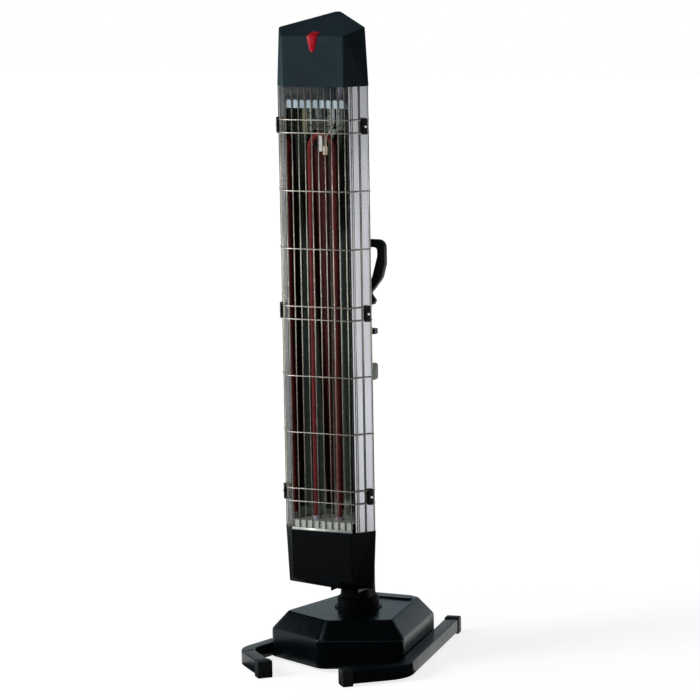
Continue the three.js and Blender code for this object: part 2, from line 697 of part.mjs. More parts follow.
// Hangers and the thermal cut-out under the top end plate
const HANGER_Y = -150;
place('hanger_strap_left', box(-39, -28, HANGER_Y, HANGER_Y + 1.5, 1172, TOP_END_Z - GAP), KHAKI);
place('hanger_strap_right', box(30, 38, HANGER_Y, HANGER_Y + 1.5, 1196, TOP_END_Z - GAP), paint(0x9fb0c0, 0.3, 0.9));
const SENSOR_X = 15;
const sensorBead = solidOf(box(SENSOR_X - 5, SENSOR_X + 5, -152.5, -147.5, 1128, 1146));
const sensorStem = solidOf(sweptBar([
  [SENSOR_X + 2, -150, 1140], [SENSOR_X + 2, -150, 1166], [33, -146.4, 1190], [34, -146.4, TOP_END_Z - GAP],
], 1.2, 8));
place('thermal_cutout', join(sensorBead, sensorStem), CERAMIC);
place('hook_rod', sweptBar([
  [54, -146, TOP_END_Z - GAP], [54, -146, 1186], [54, -150, 1180], [54, -155, 1182], [54, -156, 1190],
], 1.3, 8), STEEL);

// ---- Wire guard ----
const frontXs = Array.from({ length: GUARD_FRONT_COUNT }, (_, i) => (
  (i - (GUARD_FRONT_COUNT - 1) / 2) * GUARD_PITCH
));
const uprights = frontXs.map((x) => [x, GUARD_FRONT_Y, BOTTOM_CAP_RIM_Z - GUARD_TUCK, TOP_CAP_RIM_Z + GUARD_TUCK]);
for (const [x, y] of [GUARD_CORNER, GUARD_SIDE, GUARD_REAR]) {
  for (const side of [-1, 1]) {
    uprights.push([side * x, y, BOTTOM_CAP_RIM_Z + GAP, TOP_CAP_RIM_Z - GAP]);
  }
}
const crossZs = GUARD_PAIR_ZS.flatMap((z) => [z - GUARD_PAIR_HALF, z + GUARD_PAIR_HALF]);
for (let i = 0; i < GUARD_PAIR_ZS.length - 1; i += 1) {
  const low = GUARD_PAIR_ZS[i] + GUARD_PAIR_HALF;
  const high = GUARD_PAIR_ZS[i + 1] - GUARD_PAIR_HALF;
  crossZs.push(low + (high - low) / 3, low + (2 * (high - low)) / 3);
}
const crossHalf = [[frontXs[GUARD_FRONT_COUNT - 1], GUARD_FRONT_Y], GUARD_CORNER, GUARD_REAR];
const crossLine = [...mirrored(crossHalf).reverse(), ...crossHalf];
const crossPath = offsetPath(crossLine, -WIRE_STEP);
const overrun = 1.6;
const tail = (p, q) => {
  const length = Math.hypot(p[0] - q[0], p[1] - q[1]);
  return [p[0] + ((p[0] - q[0]) / length) * overrun, p[1] + ((p[1] - q[1]) / length) * overrun];
};
crossPath[0] = tail(crossPath[0], crossPath[1]);
crossPath[crossPath.length - 1] = tail(crossPath[crossPath.length - 1], crossPath[crossPath.length - 2]);
const guardWires = [
  ...uprights.map(([x, y, low, high]) => {
    const bar = new THREE.CylinderGeometry(WIRE_RADIUS, WIRE_RADIUS, high - low, WIRE_SIDES);
    bar.rotateX(Math.PI / 2);
    const onSide = Math.abs(x) > frontXs[GUARD_FRONT_COUNT - 1] + 1;
    const heading = onSide ? Math.atan2(sideNormal[1], sideNormal[0]) + Math.PI / 2 : 0;
    bar.rotateZ(x < 0 ? -heading : heading);
    bar.translate(x, y, (low + high) / 2);
    return solidOf(bar);
  }),
  ...crossZs.map((z) => solidOf(sweptBar(crossPath.map(([x, y]) => [x, y, z]), WIRE_RADIUS, WIRE_SIDES))),
];
place('wire_guard', join(...guardWires), CHROME);

// Clips over the paired cross wires, each with a screw through the shell
const clipInner = shellFaceOffset + GAP;
clipSpots.forEach(([side, z], i) => {
  const row = ['low', 'middle', 'high'][GUARD_PAIR_ZS.indexOf(z)];
  const hand = side > 0 ? 'right' : 'left';
  const outline = [
    [clipInner, -CLIP_WIDTH / 2], [clipInner + CLIP_DEPTH, -CLIP_WIDTH / 2 + 1.2],
    [clipInner + CLIP_DEPTH, CLIP_WIDTH / 2 - 1.2], [clipInner, CLIP_WIDTH / 2],
  ];
  const ends = [z + CLIP_HEIGHT / 2, z - CLIP_HEIGHT / 2];
  const block = loft(ends.map((h) => outline.map(([out, along]) => clipPoint(side, out, along, h))));
  const tunnels = [-1, 1].map((s) => {
    const h = z + s * GUARD_PAIR_HALF;
    const r = WIRE_RADIUS + GAP;
    const hole = [[-r, -r], [r, -r], [r, r], [-r, r]];
    return solidOf(loft([-20, 20].map((along) => hole.map(([o, u]) => clipPoint(side, WIRE_STEP + o, along, h + u)))));
  });
  place(`guard_clip_${row}_${hand}`, cut(solidOf(block), ...tunnels, clipBores[i]), BLACK);
  const pin = screw(CLIP_SCREW_RADIUS, CLIP_SCREW_HEAD_RADIUS, CLIP_SCREW_HEAD, CLIP_SCREW_LENGTH);
  pin.applyQuaternion(new THREE.Quaternion().setFromUnitVectors(
    new THREE.Vector3(0, 0, 1), new THREE.Vector3(side * sideNormal[0], sideNormal[1], 0),
  ));
  pin.translate(...clipPoint(side, clipInner + CLIP_DEPTH + GAP, 0, z));
  place(`guard_clip_screw_${row}_${hand}`, pin, CHROME);
});

// ---- Rear column ----
// Line of the head's rear facet, moved out by a gap: y at a given x
const rearYAt = (inset, x) => {
  const [p, q] = [headPlan[2], headPlan[3]];
  const length = Math.hypot(q[0] - p[0], q[1] - p[1]);
  const n = [(q[1] - p[1]) / length, -(q[0] - p[0]) / length];
  return (n[0] * p[0] + n[1] * p[1] - inset - n[0] * x) / n[1];
};
function columnOutline(half, backY, radius, headInset) {
  const frontY = rearYAt(headInset, half);
  const corner = (s) => roundCorner([s * half, frontY], [s * half, backY], [0, backY], radius, 5);
  return [[half, frontY], ...corner(1), ...corner(-1).reverse(), [-half, frontY]];
}
function columnRun(headInset, z0, z1) {
  const outer = columnOutline(COLUMN_HALF, COLUMN_BACK_Y, COLUMN_RADIUS, headInset);
  const inner = columnOutline(
    COLUMN_HALF - COLUMN_WALL, COLUMN_BACK_Y - COLUMN_WALL, COLUMN_RADIUS - COLUMN_WALL, headInset,
  );
  return solidOf(prism([...outer, ...inner.reverse()], z0, z1));
}
const capSide = -TURN_GAP;
const shellSide = SHELL_INSET - TURN_GAP;
const knobBore = solidOf(roundBar(
  KNOB_SHAFT_RADIUS + GAP, [COLUMN_HALF - 10, KNOB_Y, KNOB_Z], [COLUMN_HALF + 10, KNOB_Y, KNOB_Z], 16,
));
const switchWindow = solidOf(box(
  COLUMN_HALF - 10, COLUMN_HALF + 10, SWITCH_Y - ROCKER_WIDE / 2 - 1.5, SWITCH_Y + ROCKER_WIDE / 2 + 1.5,
  SWITCH_Z - ROCKER_TALL / 2 - 1.5, SWITCH_Z + ROCKER_TALL / 2 + 1.5,
));
place('rear_column', cut(
  join(columnRun(capSide, COLUMN_LOW_Z, BOTTOM_CAP_RIM_Z + 1),
    columnRun(shellSide, BOTTOM_CAP_RIM_Z + 1, COLUMN_TOP_Z)),
  knobBore, switchWindow,
), BLACK);
const lidPlan = [
  ...columnOutline(COLUMN_HALF, COLUMN_BACK_Y, COLUMN_RADIUS, shellSide), [0, rearYAt(shellSide, 0)],
];
place('column_lid', loft([
  lidPlan.map(([x, y]) => [x, y, COLUMN_TOP_Z + GAP + LID_THICK + (LID_RISE * (COLUMN_BACK_Y - y)) / 100]),
  lidPlan.map(([x, y]) => [x, y, COLUMN_TOP_Z + GAP]),
]), BLACK);

// Brackets between the swivel post and the head's rear facets
const bracketInset = SHELL_INSET - GAP;
BRACKET_ZS.forEach((z, i) => {
  const tipY = rearYAt(bracketInset, 0);
  const outline = [
    [BRACKET_HALF, rearYAt(bracketInset, BRACKET_HALF)], [BRACKET_HALF, BRACKET_BACK_Y],
    [-BRACKET_HALF, BRACKET_BACK_Y], [-BRACKET_HALF, rearYAt(bracketInset, BRACKET_HALF)], [0, tipY],
  ];
  const hole = roundBar(POST_RADIUS + GAP, [0, 0, z - 40], [0, 0, z + 40], TURN_SIDES);
  const pocket = box(-BRACKET_HALF + 4, BRACKET_HALF - 4, -40, -20, z - 40, z + 40);
  const body = solidOf(prism(outline, z - BRACKET_HEIGHT / 2, z + BRACKET_HEIGHT / 2));
  place(`head_bracket_${['low', 'high'][i]}`, cut(body, solidOf(hole), solidOf(pocket)), STEEL);
});

// ---- Swivel post, bearing and neck ----
const plateTopZ = BAR_Z + BAR_TALL / 2 + PLATE_THICK + GAP;
place('swivel_post', lathe([
  [SPINDLE_RADIUS - POST_WALL, SPINDLE_LOW_Z], [SPINDLE_RADIUS, SPINDLE_LOW_Z],
  [SPINDLE_RADIUS, BEARING_TOP_Z + GAP], [POST_RADIUS, BEARING_TOP_Z + GAP],
  [POST_RADIUS, POST_TOP_Z], [POST_RADIUS - POST_WALL, POST_TOP_Z],
  [POST_RADIUS - POST_WALL, BEARING_TOP_Z + GAP + 4], [SPINDLE_RADIUS - POST_WALL, BEARING_TOP_Z + GAP],
  [SPINDLE_RADIUS - POST_WALL, SPINDLE_LOW_Z],
], TURN_SIDES), STEEL);
const bearingBore = boreRadius(SPINDLE_RADIUS, TURN_SIDES);
place('swivel_bearing', lathe([
  [bearingBore, plateTopZ + GAP], [BEARING_RADIUS + 14, plateTopZ + GAP], [BEARING_RADIUS + 14, plateTopZ + 6],
  [BEARING_RADIUS, plateTopZ + 8], [BEARING_RADIUS - 4, BEARING_TOP_Z], [bearingBore, BEARING_TOP_Z],
  [bearingBore, plateTopZ + GAP],
], TURN_SIDES), IRON);
place('swivel_flange', lathe([
  [FLANGE_HOLE, COVER_TOP_Z + GAP], [FLANGE_RADIUS, COVER_TOP_Z + GAP],
  [FLANGE_RADIUS, COVER_TOP_Z + FLANGE_RISE - 1], [FLANGE_RADIUS - 1.2, COVER_TOP_Z + FLANGE_RISE],
  [FLANGE_HOLE, COVER_TOP_Z + FLANGE_RISE], [FLANGE_HOLE, COVER_TOP_Z + GAP],
], 40), BLACK);

const NECK_POINTS = 40;
function circleRing(radius, z) {
  return Array.from({ length: NECK_POINTS }, (_, i) => {
    const angle = ((i + 0.5) / NECK_POINTS) * 2 * Math.PI;
    return [radius * Math.cos(angle), radius * Math.sin(angle), z];
  });
}
function neckRing(halfX, halfY, radius, z) {
  const corners = [[halfX, halfY], [-halfX, halfY], [-halfX, -halfY], [halfX, -halfY]];
  const steps = NECK_POINTS / 4 - 1;
  return roundOutline(corners, radius, steps).map(([x, y]) => [x, y, z]);
}
const collarLowZ = COVER_TOP_Z + FLANGE_RISE + TURN_GAP;
const neckTopZ = COLUMN_LOW_Z - GAP;
place('neck_collar', loft([
  neckRing(COLUMN_HALF - NECK_WALL, COLUMN_BACK_Y - NECK_WALL, COLUMN_RADIUS - NECK_WALL, neckTopZ),
  neckRing(COLUMN_HALF, COLUMN_BACK_Y, COLUMN_RADIUS, neckTopZ),
  neckRing(COLUMN_HALF, COLUMN_BACK_Y, COLUMN_RADIUS, neckTopZ - 12),
  neckRing(COLUMN_HALF + 2, COLUMN_BACK_Y + 2, COLUMN_RADIUS, COLLAR_NECK_TOP_Z + 0.6),
  circleRing(COLLAR_NECK_RADIUS - 2.5, COLLAR_NECK_TOP_Z),
  circleRing(COLLAR_NECK_RADIUS - 0.7, COLLAR_NECK_TOP_Z - 0.8),
  circleRing(COLLAR_NECK_RADIUS, COLLAR_NECK_TOP_Z - 2.6),
  circleRing(COLLAR_NECK_RADIUS, collarLowZ),
  circleRing(POST_RADIUS + 8, collarLowZ),
  neckRing(POST_RADIUS + 8, POST_RADIUS + 8, POST_RADIUS - 2, COLLAR_NECK_TOP_Z - 4),
], true), BLACK);

// ---- Handle ----
const handleX = COLUMN_HALF + GAP;
const HANDLE_OUTLINE = [
  [handleX, HANDLE_TOP_Z], [HANDLE_REACH, HANDLE_TOP_Z], [HANDLE_REACH, HANDLE_TOP_Z - 54],
  [73, HANDLE_TOP_Z - 85], [51, HANDLE_LOW_Z + 31], [44.5, HANDLE_LOW_Z + 24.5], [56, HANDLE_LOW_Z + 9],
  [52, HANDLE_LOW_Z], [handleX, HANDLE_LOW_Z],
];
const HANDLE_HOLE = [
  [41, HANDLE_TOP_Z - HANDLE_ARM], [HANDLE_INNER_X, HANDLE_TOP_Z - HANDLE_ARM],
  [HANDLE_INNER_X, HANDLE_TOP_Z - 36], [51, HANDLE_TOP_Z - 80], [46, HANDLE_LOW_Z + 52],
  [41, HANDLE_LOW_Z + 52],
];
function handleSolid() {
  const half = HANDLE_WIDE / 2;
  const bevel = 3;
  const stages = [[bevel, -half], [bevel * 0.3, -half + bevel * 0.3], [0, -half + bevel], [0, half - bevel],
    [bevel * 0.3, half - bevel * 0.3], [bevel, half]];
  const outerAt = (inset, y) => stageRing(HANDLE_OUTLINE, [0.5, 17, 40, 30, 6, 5, 3, 3, 0.5], inset, y);
  const innerAt = (inset, y) => stageRing(HANDLE_HOLE, [3, 7, 20, 10, 2, 2], -inset, y * 1.0001);
  const solid = solidOf(loft(stages.map(([inset, y]) => outerAt(inset, y))));
  const hole = solidOf(loft(stages.map(([inset, y]) => innerAt(inset, y))));
  return cut(solid, hole);
}
// Clockwise outline in x and z, moved inwards and rounded, at one y
function stageRing(outline, radii, inset, y) {
  const turned = [...outline].reverse();
  const fitted = [...radii].reverse().map((r) => Math.max(r - inset, 0.4));
  return roundOutline(insetOutline(turned, inset), fitted, 4).map(([x, z]) => [x, HANDLE_Y + y, z]);
}
place('carry_handle', handleSolid(), BLACK);

// ---- Power knob and its rotary switch ----
const rotaryFront = COLUMN_HALF - COLUMN_WALL - GAP;
const knobShaftBore = boreRadius(KNOB_SHAFT_RADIUS, 24);
const rotaryBody = roundBar(11, [rotaryFront - 12, KNOB_Y, KNOB_Z], [rotaryFront, KNOB_Y, KNOB_Z], 24);
const rotaryBore = roundBar(knobShaftBore, [rotaryFront - 10, KNOB_Y, KNOB_Z], [rotaryFront + 5, KNOB_Y, KNOB_Z], 24);
place('rotary_switch', cut(solidOf(rotaryBody), solidOf(rotaryBore)), PHENOLIC);
const knobBase = COLUMN_HALF + TURN_GAP;
const knobDisc = roundBar(KNOB_RADIUS, [knobBase, KNOB_Y, KNOB_Z], [KNOB_DISC_REACH, KNOB_Y, KNOB_Z], 28);
const knobBar = box(
  KNOB_DISC_REACH - 1, KNOB_REACH, KNOB_Y - KNOB_RADIUS + 2, KNOB_Y + KNOB_RADIUS - 2,
  KNOB_Z - KNOB_BAR / 2, KNOB_Z + KNOB_BAR / 2,
);
const knobShaft = roundBar(
  KNOB_SHAFT_RADIUS, [rotaryFront - 9.5, KNOB_Y, KNOB_Z], [knobBase + 2, KNOB_Y, KNOB_Z], 24,
);
place('power_knob', join(solidOf(knobDisc), solidOf(knobBar), solidOf(knobShaft)), BLACK);

// ---- Rocker switch behind a soft drip-proof cover ----
const switchBodyX = COLUMN_HALF - COLUMN_WALL - GAP;
const rockerHalf = ROCKER_TALL / 2;
const bodyShellOuter = solidOf(box(
  switchBodyX - 13.4, switchBodyX, SWITCH_Y - ROCKER_WIDE / 2 - 3, SWITCH_Y + ROCKER_WIDE / 2 + 3,
  SWITCH_Z - rockerHalf - 3, SWITCH_Z + rockerHalf + 3,
));
const bodyPocket = solidOf(box(
  switchBodyX - 11.6, switchBodyX + 5, SWITCH_Y - ROCKER_WIDE / 2 - 0.5, SWITCH_Y + ROCKER_WIDE / 2 + 0.5,
  SWITCH_Z - rockerHalf - 1, SWITCH_Z + rockerHalf + 1,
));
const pivotX = switchBodyX - 5;
const pivotBore = solidOf(roundBar(
  boreRadius(ROCKER_PIN_RADIUS, 16), [pivotX, SWITCH_Y - ROCKER_WIDE / 2 - 2, SWITCH_Z],
  [pivotX, SWITCH_Y + ROCKER_WIDE / 2 + 2, SWITCH_Z], 16,
));
place('power_switch', cut(bodyShellOuter, bodyPocket, pivotBore), paint(0x202224, 0.5));
const rockerProfile = [
  [-5, -4], [6.5, -rockerHalf + 1], [12, -rockerHalf + 1], [9.5, 0], [12, rockerHalf - 1], [6.5, rockerHalf - 1],
  [-5, 4],
];
// At rest the rocker's upper end is pushed in
const rockerTurn = THREE.MathUtils.degToRad(ROCKER_TILT_DEG);
const rockerBlock = solidOf(loft([-ROCKER_WIDE / 2, ROCKER_WIDE / 2].map((y) => (
  rockerProfile.map(([x, z]) => [
    pivotX + x * Math.cos(rockerTurn) - z * Math.sin(rockerTurn), SWITCH_Y + y,
    SWITCH_Z + x * Math.sin(rockerTurn) + z * Math.cos(rockerTurn),
  ])
))));
const rockerPin = solidOf(roundBar(
  ROCKER_PIN_RADIUS, [pivotX, SWITCH_Y - ROCKER_WIDE / 2 - 1.7, SWITCH_Z],
  [pivotX, SWITCH_Y + ROCKER_WIDE / 2 + 1.7, SWITCH_Z], 16,
));
place('power_rocker', join(rockerBlock, rockerPin), paint(0x8c1f20, 0.35));
function coverRing(x, inset) {
  const [y, z] = [SWITCH_WIDE / 2 - inset, SWITCH_TALL / 2 - inset];
  const corners = [[y, z], [-y, z], [-y, -z], [y, -z]];
  return roundOutline(corners, Math.max(7 - inset, 1.5), 5).map(([u, v]) => [x, SWITCH_Y + u, SWITCH_Z + v]);
}
const coverFoot = COLUMN_HALF + GAP;
place('drip_cover', loft([
  coverRing(SWITCH_REACH, 4), coverRing(SWITCH_REACH - 1, 1.6), coverRing(SWITCH_REACH - 3.5, 0),
  coverRing(coverFoot, 0), coverRing(coverFoot, SWITCH_WALL), coverRing(SWITCH_REACH - 3.5, SWITCH_WALL),
  coverRing(SWITCH_REACH - SWITCH_WALL, 3.2),
]), CLEAR);

// ---- Base ----
const coverPlan = [
  [0, COVER_FRONT_Y], COVER_SHOULDER, COVER_BACK, ...mirrored([COVER_BACK, COVER_SHOULDER]),
];
function baseRing(outset, z) {
  const radii = [COVER_CORNER_RADIUS * 2, ...Array(4).fill(COVER_CORNER_RADIUS)].map((r) => r + outset * 0.3);
  return roundOutline(insetOutline(coverPlan, -outset), radii, 5).map(([x, y]) => [x, y, z]);
}
const slopeAngle = Math.atan2(COVER_TOP_Z - COVER_MID_Z, COVER_OUTSET);
const innerTopOutset = -COVER_WALL * Math.tan(slopeAngle / 2);
const innerMidOutset = COVER_OUTSET - COVER_WALL;
const innerMidZ = COVER_MID_Z - COVER_WALL * Math.tan((Math.PI / 2 - slopeAngle) / 2);
const coverBody = solidOf(loft([
  baseRing(-2.6, COVER_TOP_Z), baseRing(-0.8, COVER_TOP_Z - 0.4), baseRing(1.2, COVER_TOP_Z - 1.9),
  baseRing(COVER_OUTSET - 3, COVER_MID_Z + 4.2), baseRing(COVER_OUTSET - 0.9, COVER_MID_Z + 1),
  baseRing(COVER_OUTSET, COVER_MID_Z - 3), baseRing(COVER_OUTSET, COVER_LOW_Z),
  baseRing(COVER_OUTSET - COVER_WALL, COVER_LOW_Z), baseRing(innerMidOutset, innerMidZ),
  baseRing(innerTopOutset, COVER_TOP_Z - COVER_WALL),
]));
// Raised band along the back of the cover's top
const bandFrontY = COVER_BACK[1] - BAND_DEPTH;
const coverSideX = (y) => {
  const [p, q] = [COVER_SHOULDER, COVER_BACK];
  return p[0] + ((q[0] - p[0]) * (y - p[1])) / (q[1] - p[1]);
};
function bandRing(inset, z) {
  const frontX = coverSideX(bandFrontY) - 9 - inset;
  const backX = COVER_BACK[0] - 9 - inset;
  const [y0, y1] = [bandFrontY + inset, COVER_BACK[1] - 9 - inset];
  return roundOutline([[frontX, y0], [backX, y1], [-backX, y1], [-frontX, y0]], 8, 4).map(([x, y]) => [x, y, z]);
}
const band = solidOf(loft([
  bandRing(1.6, COVER_TOP_Z + BAND_RISE), bandRing(0.4, COVER_TOP_Z + BAND_RISE - 0.8),
  bandRing(0, COVER_TOP_Z + BAND_RISE - 2), bandRing(0, COVER_TOP_Z - 1.5),
]));
const neckHole = solidOf(roundBar(FLANGE_HOLE, [0, 0, COVER_TOP_Z - 10], [0, 0, COVER_TOP_Z + 10], 40));
const barNotches = BAR_YS.map((y) => solidOf(box(
  -300, 300, y - BAR_WIDE / 2 - 1, y + BAR_WIDE / 2 + 1, 0, BAR_Z + BAR_TALL / 2 + 1,
)));
const GLAND_X = 40;
const GLAND_Z = 32;
const GLAND_RADIUS = 8;
const skirtBackY = COVER_BACK[1] + COVER_OUTSET;
const glandHole = solidOf(roundBar(
  GLAND_RADIUS + GAP, [GLAND_X, skirtBackY - 20, GLAND_Z], [GLAND_X, skirtBackY + 20, GLAND_Z], 24,
));
place('base_cover', cut(join(coverBody, band), neckHole, ...barNotches, glandHole), GLOSS_BLACK);
const gland = lathe([
  [4.5, -14], [GLAND_RADIUS, -14], [GLAND_RADIUS, GAP], [12, GAP], [12, 6], [9, 12], [4.5, 12], [4.5, -14],
], 24);
gland.rotateX(-Math.PI / 2);
gland.translate(GLAND_X, skirtBackY, GLAND_Z);
place('cord_gland', gland, RUBBER);

// Foot tubes: one bend each, rear leg beside the cover, front leg turned inwards
function footPath(side) {
  const bend = roundCorner(FOOT_FRONT, FOOT_BEND, FOOT_REAR, FOOT_BEND_RADIUS, 7);
  return [FOOT_FRONT, ...bend, FOOT_REAR].map(([x, y]) => [side * x, y]);
}
function bootParts(end, inner) {
  const length = Math.hypot(end[0] - inner[0], end[1] - inner[1]);
  const out = [(end[0] - inner[0]) / length, (end[1] - inner[1]) / length];
  const at = (d) => [end[0] + out[0] * d, end[1] + out[1] * d];
  return { from: at(-BOOT_INSERT), to: at(BOOT_LONG - BOOT_INSERT), mouth: at(-BOOT_INSERT - 5), tip: at(GAP) };
}
function bootSolid(spot) {
  const shell = [];
  const [fx, fy] = spot.from;
  const [tx, ty] = spot.to;
  const length = Math.hypot(tx - fx, ty - fy);
  const u = [(tx - fx) / length, (ty - fy) / length];
  const v = [-u[1], u[0]];
  for (const [d, inset] of [[0, 0.8], [1.2, 0], [length - 2.5, 0], [length - 0.8, 0.8], [length, 2.5]]) {
    const half = BOOT_WIDE / 2 - inset;
    const corners = [[-half, inset], [half, inset], [half, BOOT_TALL - inset], [-half, BOOT_TALL - inset]];
    shell.push(roundOutline(corners, 3, 3).map(([w, z]) => [
      fx + u[0] * d + v[0] * w, fy + u[1] * d + v[1] * w, z,
    ]));
  }
  const socket = squareBar([spot.mouth, spot.tip], FOOT_TUBE_Z, FOOT_TUBE + 2 * GAP, FOOT_TUBE + 2 * GAP);
  return cut(solidOf(loft(shell)), solidOf(socket));
}
[['left', -1], ['right', 1]].forEach(([hand, side]) => {
  const path = footPath(side);
  const bore = FOOT_TUBE - 2 * FOOT_TUBE_WALL;
  const long = path.map((p) => [...p]);
  const stretch = (i, j) => {
    const length = Math.hypot(path[i][0] - path[j][0], path[i][1] - path[j][1]);
    long[i] = [0, 1].map((k) => path[i][k] + ((path[i][k] - path[j][k]) / length) * 5);
  };
  stretch(0, 1);
  stretch(path.length - 1, path.length - 2);
  place(`foot_tube_${hand}`, cut(
    solidOf(squareBar(path, FOOT_TUBE_Z, FOOT_TUBE, FOOT_TUBE)), solidOf(squareBar(long, FOOT_TUBE_Z, bore, bore)),
  ), GLOSS_BLACK);
  place(`boot_front_${hand}`, bootSolid(bootParts(path[0], path[1])), RUBBER);
  place(`boot_rear_${hand}`, bootSolid(bootParts(path[path.length - 1], path[path.length - 2])), RUBBER);
});

// Cross bars end against the inner faces of the rear legs
const legDirection = (() => {
  const length = Math.hypot(FOOT_REAR[0] - FOOT_BEND[0], FOOT_REAR[1] - FOOT_BEND[1]);
  return [(FOOT_REAR[0] - FOOT_BEND[0]) / length, (FOOT_REAR[1] - FOOT_BEND[1]) / length];
})();
const legInnerX = (y) => {
  const centre = FOOT_BEND[0] + (legDirection[0] / legDirection[1]) * (y - FOOT_BEND[1]);
  return centre - (FOOT_TUBE / 2 + GAP) / legDirection[1];
};
const barTopZ = BAR_Z + BAR_TALL / 2;
const boltSpots = [-1, 1].map((s) => [s * BOLT_X, BAR_YS[0]]);
const boltHoles = boltSpots.map(([x, y]) => solidOf(roundBar(
  BOLT_RADIUS + GAP, [x, y, barTopZ - 8], [x, y, barTopZ + 20], 12,
)));
const TIP_BODY_LOW_Z = 28;
const TIP_BODY_TOP_Z = 66;
const tipBore = solidOf(roundBar(boreRadius(TIP_RADIUS, 24), [0, TIP_Y, 0], [0, TIP_Y, TIP_BODY_TOP_Z - 6], 24));
BAR_YS.forEach((y, i) => {
  const outline = [
    [legInnerX(y - BAR_WIDE / 2), y - BAR_WIDE / 2], [legInnerX(y + BAR_WIDE / 2), y + BAR_WIDE / 2],
    [-legInnerX(y + BAR_WIDE / 2), y + BAR_WIDE / 2], [-legInnerX(y - BAR_WIDE / 2), y - BAR_WIDE / 2],
  ];
  const bar = solidOf(prism(outline, BAR_Z - BAR_TALL / 2, barTopZ));
  const bore = solidOf(box(
    -300, 300, y - BAR_WIDE / 2 + 2.5, y + BAR_WIDE / 2 - 2.5, BAR_Z - BAR_TALL / 2 + 2.5, barTopZ - 2.5,
  ));
  place(`cross_bar_${['front', 'rear'][i]}`, cut(bar, bore, ...boltHoles), GLOSS_BLACK);
});
const plateLowZ = barTopZ + GAP;
const plateBody = solidOf(box(-PLATE_HALF, PLATE_HALF, PLATE_FRONT_Y, PLATE_BACK_Y, plateLowZ, plateTopZ));
place('base_plate', cut(plateBody, ...boltHoles), STEEL);
boltSpots.forEach(([x, y], i) => {
  const bolt = screw(BOLT_RADIUS, 7, 5, PLATE_THICK + 6, 6);
  bolt.translate(x, y, plateTopZ + GAP);
  place(`plate_bolt_${['left', 'right'][i]}`, bolt, STEEL);
});
const ballastLowZ = plateTopZ + GAP;
place('ballast_block', prism(roundOutline([
  [BALLAST_SIZE[0] / 2, BALLAST_Y - BALLAST_SIZE[1] / 2], [BALLAST_SIZE[0] / 2, BALLAST_Y + BALLAST_SIZE[1] / 2],
  [-BALLAST_SIZE[0] / 2, BALLAST_Y + BALLAST_SIZE[1] / 2], [-BALLAST_SIZE[0] / 2, BALLAST_Y - BALLAST_SIZE[1] / 2],
], 6, 3), ballastLowZ, ballastLowZ + BALLAST_SIZE[2]), IRON);

// Tip-over switch: body fixed to the plate's front edge, plunger down to the floor
const tipBody = solidOf(box(-14, 14, TIP_Y - TIP_HALF, TIP_Y + TIP_HALF, TIP_BODY_LOW_Z, TIP_BODY_TOP_Z));
place('tip_over_switch', cut(tipBody, tipBore), PHENOLIC);
const plunger = lathe([
  [0, 0.5], [TIP_RADIUS + 3, 0.5], [TIP_RADIUS + 4, 1.5], [TIP_RADIUS + 4, 4], [TIP_RADIUS, 5],
  [TIP_RADIUS, TIP_BODY_TOP_Z - 14], [0, TIP_BODY_TOP_Z - 14],
], 24);
plunger.translate(0, TIP_Y, 0);
place('tip_over_plunger', plunger, paint(0xd6d2c8, 0.5));

export default group;
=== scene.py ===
"""Infrared heater tower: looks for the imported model, in metres, front towards -Y."""

import math

import bmesh
import bpy
from mathutils import Matrix, Vector


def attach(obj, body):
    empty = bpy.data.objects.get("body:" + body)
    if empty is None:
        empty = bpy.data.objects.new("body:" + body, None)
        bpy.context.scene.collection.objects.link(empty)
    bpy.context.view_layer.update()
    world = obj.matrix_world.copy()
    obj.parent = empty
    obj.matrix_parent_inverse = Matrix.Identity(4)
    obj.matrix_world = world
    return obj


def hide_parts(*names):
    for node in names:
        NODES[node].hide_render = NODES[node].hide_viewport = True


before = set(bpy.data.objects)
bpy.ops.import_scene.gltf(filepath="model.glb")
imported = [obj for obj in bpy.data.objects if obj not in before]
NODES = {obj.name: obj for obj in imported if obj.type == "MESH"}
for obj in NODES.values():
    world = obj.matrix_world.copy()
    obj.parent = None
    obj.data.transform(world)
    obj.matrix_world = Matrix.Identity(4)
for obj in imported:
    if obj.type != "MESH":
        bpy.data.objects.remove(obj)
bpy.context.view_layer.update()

# ---------------------------------------------------------------- camera
# Fitted to the photograph; the azimuth is counted from the front towards the right side
AZIMUTH = math.radians(26.33)
DISTANCE = 7.128
HEIGHT = 1.7038
PAN = math.radians(0.069)
TILT = math.radians(8.13)
ROLL = math.radians(-1.011)
FOCAL_PX = 3273.94
FRAME_PX = 700
SENSOR_MM = 36


def add_camera():
    heading = AZIMUTH + PAN
    ahead = Vector((-math.sin(heading), math.cos(heading), 0))
    forward = ahead * math.cos(TILT) - Vector((0, 0, math.sin(TILT)))
    level = Vector((math.cos(heading), math.sin(heading), 0))
    up = level.cross(forward)
    right = math.cos(ROLL) * level + math.sin(ROLL) * up
    top = -math.sin(ROLL) * level + math.cos(ROLL) * up
    data = bpy.data.cameras.new("camera")
    data.sensor_width = SENSOR_MM
    data.lens = FOCAL_PX / FRAME_PX * SENSOR_MM
    data.clip_start = 0.1
    data.clip_end = 60
    camera = bpy.data.objects.new("camera", data)
    turn = Matrix((right, top, -forward)).transposed().to_4x4()
    spot = Vector((DISTANCE * math.sin(AZIMUTH), -DISTANCE * math.cos(AZIMUTH), HEIGHT))
    camera.matrix_world = Matrix.Translation(spot) @ turn
    bpy.context.scene.collection.objects.link(camera)
    bpy.context.scene.camera = camera


add_camera()


# ---------------------------------------------------------------- materials
def linear(value):
    return value / 12.92 if value <= 0.04045 else ((value + 0.055) / 1.055) ** 2.4


def srgb(red, green, blue):
    return tuple(linear(c / 255) for c in (red, green, blue)) + (1.0,)


